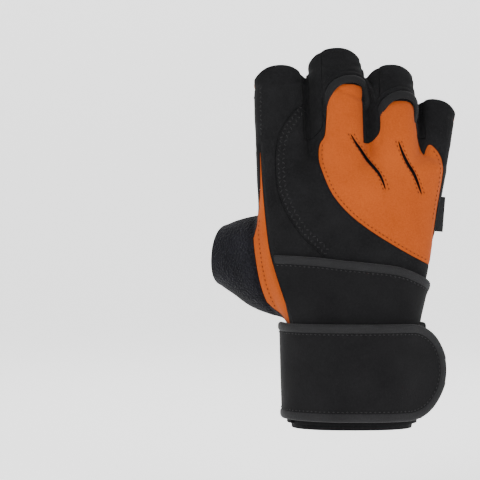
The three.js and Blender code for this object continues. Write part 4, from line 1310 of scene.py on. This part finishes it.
materials = {
    "palm_suede": cloth("Suede", (0.0042, 0.0042, 0.0044), (0.0095, 0.0093, 0.0093), 0.95, 0.03, nap=1100.0,
                        thread_share=0.2, bump=0.5),
    "orange_cloth": cloth("Orange cloth", (0.225, 0.038, 0.0036), (0.315, 0.06, 0.007), 0.9, 0.03, amount=0.8, patch=40.0, fleck=1400.0,
                          thread=2200.0, nap=1500.0, thread_share=0.3, bump=0.25),
    "stretch_cloth": cloth("Stretch cloth", (0.002, 0.002, 0.0023), (0.0068, 0.0068, 0.0074), 0.85, 0.02, amount=0.9,
                           thread=1300.0, thread_share=0.7, bump=0.5),
    "terry_cloth": cloth("Terry", (0.0012, 0.0012, 0.002), (0.0095, 0.0095, 0.013), 1.0, 0.05, amount=0.8, fleck=900.0,
                         thread=900.0, nap=1000.0, thread_share=0.75, bump=1.0, bump_depth=0.9 * MM),
    "wrap_cloth": cloth("Neoprene cloth", (0.0034, 0.0034, 0.0038), (0.0075, 0.0075, 0.008), 0.9, 0.03,
                        thread=1900.0, thread_share=0.5, bump=0.3),
    "hem_tape": cloth("Hem tape", (0.0085, 0.0085, 0.009), (0.017, 0.017, 0.018), 0.75, 0.05, fleck=1600.0,
                      thread=1400.0, thread_share=0.9, bump=0.4),
}
ribbed_tape = cloth("Ribbed tape", (0.005, 0.005, 0.0054), (0.011, 0.011, 0.0115), 0.8, 0.04, fleck=1600.0,
                    thread=1400.0, thread_share=0.9, bump=0.4)
thread_black = cloth("Black thread", (0.010, 0.010, 0.0103), (0.018, 0.018, 0.0185), 0.7, 0.05, bump=0.1)
thread_orange = cloth("Orange thread", (0.085, 0.015, 0.003), (0.13, 0.024, 0.004), 0.8, 0.03, bump=0.1)
print("finishes:", sorted(materials))

# %% [markdown]
# ## Putting the pieces in place
# Each piece takes the place of the solid with its name, rides on the glove's one body and has its finish. Cut
# edges stay crisp and everything else is shaded smooth.

# %% Pieces in place
SLOTS = {
    "palm_suede": ["palm_panel", "palm_bar_pad", "palm_curve_pad", "thumb_base_pad"],
    "orange_cloth": ["back_panel", "radial_strip", "ulnar_stripe", "heel_trim", "heel_trim_side",
                     *[f"mouth_band_{finger['name']}" for finger in FINGERS]],
    "stretch_cloth": ["centre_back", "index_back", "middle_back", "ring_back", "little_back", "side_index_middle",
                      "side_middle_ring", "side_ring_little", "pull_tab_middle", "pull_tab_ring", "inner_cuff"],
    "terry_cloth": ["thumb_sleeve"],
    "wrap_cloth": ["wrap_layer", "strap"],
    "hem_tape": ["wrap_tape", "strap_tape", "side_tag"],
}
SHARP_ANGLE = math.radians(50)


def finish_mesh(made, material):
    bm = bmesh.new()
    bm.from_mesh(made.data)
    for face in bm.faces:
        face.smooth = True
        face.material_index = 0
    for edge in bm.edges:
        edge.smooth = not (edge.is_manifold and edge.calc_face_angle(0) > SHARP_ANGLE)
    bm.to_mesh(made.data)
    bm.free()
    made.data.materials.clear()
    made.data.materials.append(material)


shown = {}
for slot_name, names in SLOTS.items():
    for name in names:
        made = panels[name]
        made.name = f"cloth_{name}"
        finish_mesh(made, materials[slot_name])
        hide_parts(name)
        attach(made, "root")
        shown[name] = made
for name in ("pull_tab_middle", "pull_tab_ring"):
    finish_mesh(shown[name], ribbed_tape)
extras = {"inside_cloth": inside, **hems}
for name, made in extras.items():
    made.name = name
    finish_mesh(made, materials["stretch_cloth"])
    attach(made, "root")
for name, (made, slot_name) in stitching.items():
    finish_mesh(made, thread_orange if slot_name == "orange_cloth" else thread_black)
    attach(made, "root")
kept = set(shown.values()) | {made for made, _ in stitching.values()} | set(extras.values())
frame_objects = set(frame["nodes"].values()) | set(frame["bodies"].values())
for made in list(bpy.context.scene.objects):
    if made not in kept and made not in frame_objects:
        bpy.data.objects.remove(made)
print("pieces:", len(kept))

# %% [markdown]
# ## Stage, light and camera
# The studio is plain: a round pale floor that curves up into a wall on all sides, large soft lights, and a
# camera at the height of the glove's middle.

# %% Stage
FLOOR_DROP = 45 * MM
FLOOR_RADIUS = 1.6
WALL_ROUNDING = 0.9
CAMERA_DISTANCE = 870 * MM
CAMERA_X = -60.2 * MM
CAMERA_Z = 100.7 * MM
FRAME_WIDTH = 259.2 * MM

bm = bmesh.new()
profile = [Vector((0, 0, -FLOOR_DROP)), Vector((FLOOR_RADIUS, 0, -FLOOR_DROP))]
for turn in np.linspace(0, math.pi / 2, 16)[1:]:
    rise = WALL_ROUNDING * (1 - math.cos(turn))
    profile.append(Vector((FLOOR_RADIUS + WALL_ROUNDING * math.sin(turn), 0, rise - FLOOR_DROP)))
spine = [bm.verts.new(point) for point in profile]
edges = [bm.edges.new(pair) for pair in zip(spine, spine[1:])]
bmesh.ops.spin(bm, geom=spine + edges, cent=(0, 0, 0), axis=AXIS_Z, angle=2 * math.pi, steps=72, use_duplicate=False)
bmesh.ops.remove_doubles(bm, verts=bm.verts, dist=0.1 * MM)
bmesh.ops.recalc_face_normals(bm, faces=bm.faces)
stage = new_object("stage", bm)
for polygon in stage.data.polygons:
    polygon.use_smooth = True
stage_material = bpy.data.materials.new("Stage")
stage_material.use_nodes = True
stage_shader = stage_material.node_tree.nodes["Principled BSDF"]
stage_shader.inputs["Base Color"].default_value = (0.93, 0.93, 0.93, 1)
stage_shader.inputs["Roughness"].default_value = 0.9
stage_shader.inputs["Emission Color"].default_value = (1, 1, 1, 1)
stage_shader.inputs["Emission Strength"].default_value = 1
stage.data.materials.append(stage_material)


def area_light(name, place, size, energy):
    data = bpy.data.lights.new(name, "AREA")
    data.shape = "SQUARE"
    data.size = size
    data.energy = energy
    light = bpy.data.objects.new(name, data)
    light.location = place
    light.rotation_euler = (Vector((0, 0, CAMERA_Z)) - Vector(place)).to_track_quat("-Z", "Y").to_euler()
    bpy.context.scene.collection.objects.link(light)


area_light("front left", (-0.9, -1.2, 1.0), 0.9, 21)
area_light("front right", (1.0, -1.1, 0.7), 0.9, 13)
area_light("top back", (0.2, 0.7, 1.2), 0.8, 12)
world = bpy.data.worlds.new("studio")
world.use_nodes = True
world.node_tree.nodes["Background"].inputs["Color"].default_value = (1, 1, 1, 1)
world.node_tree.nodes["Background"].inputs["Strength"].default_value = 0.6
bpy.context.scene.world = world

camera_data = bpy.data.cameras.new("camera")
camera_data.sensor_fit = "HORIZONTAL"
camera_data.angle = 2 * math.atan(FRAME_WIDTH / 2 / CAMERA_DISTANCE)
camera = bpy.data.objects.new("camera", camera_data)
camera.location = (CAMERA_X, -CAMERA_DISTANCE, CAMERA_Z)
camera.rotation_euler = (math.pi / 2, 0, 0)
bpy.context.scene.collection.objects.link(camera)
bpy.context.scene.camera = camera
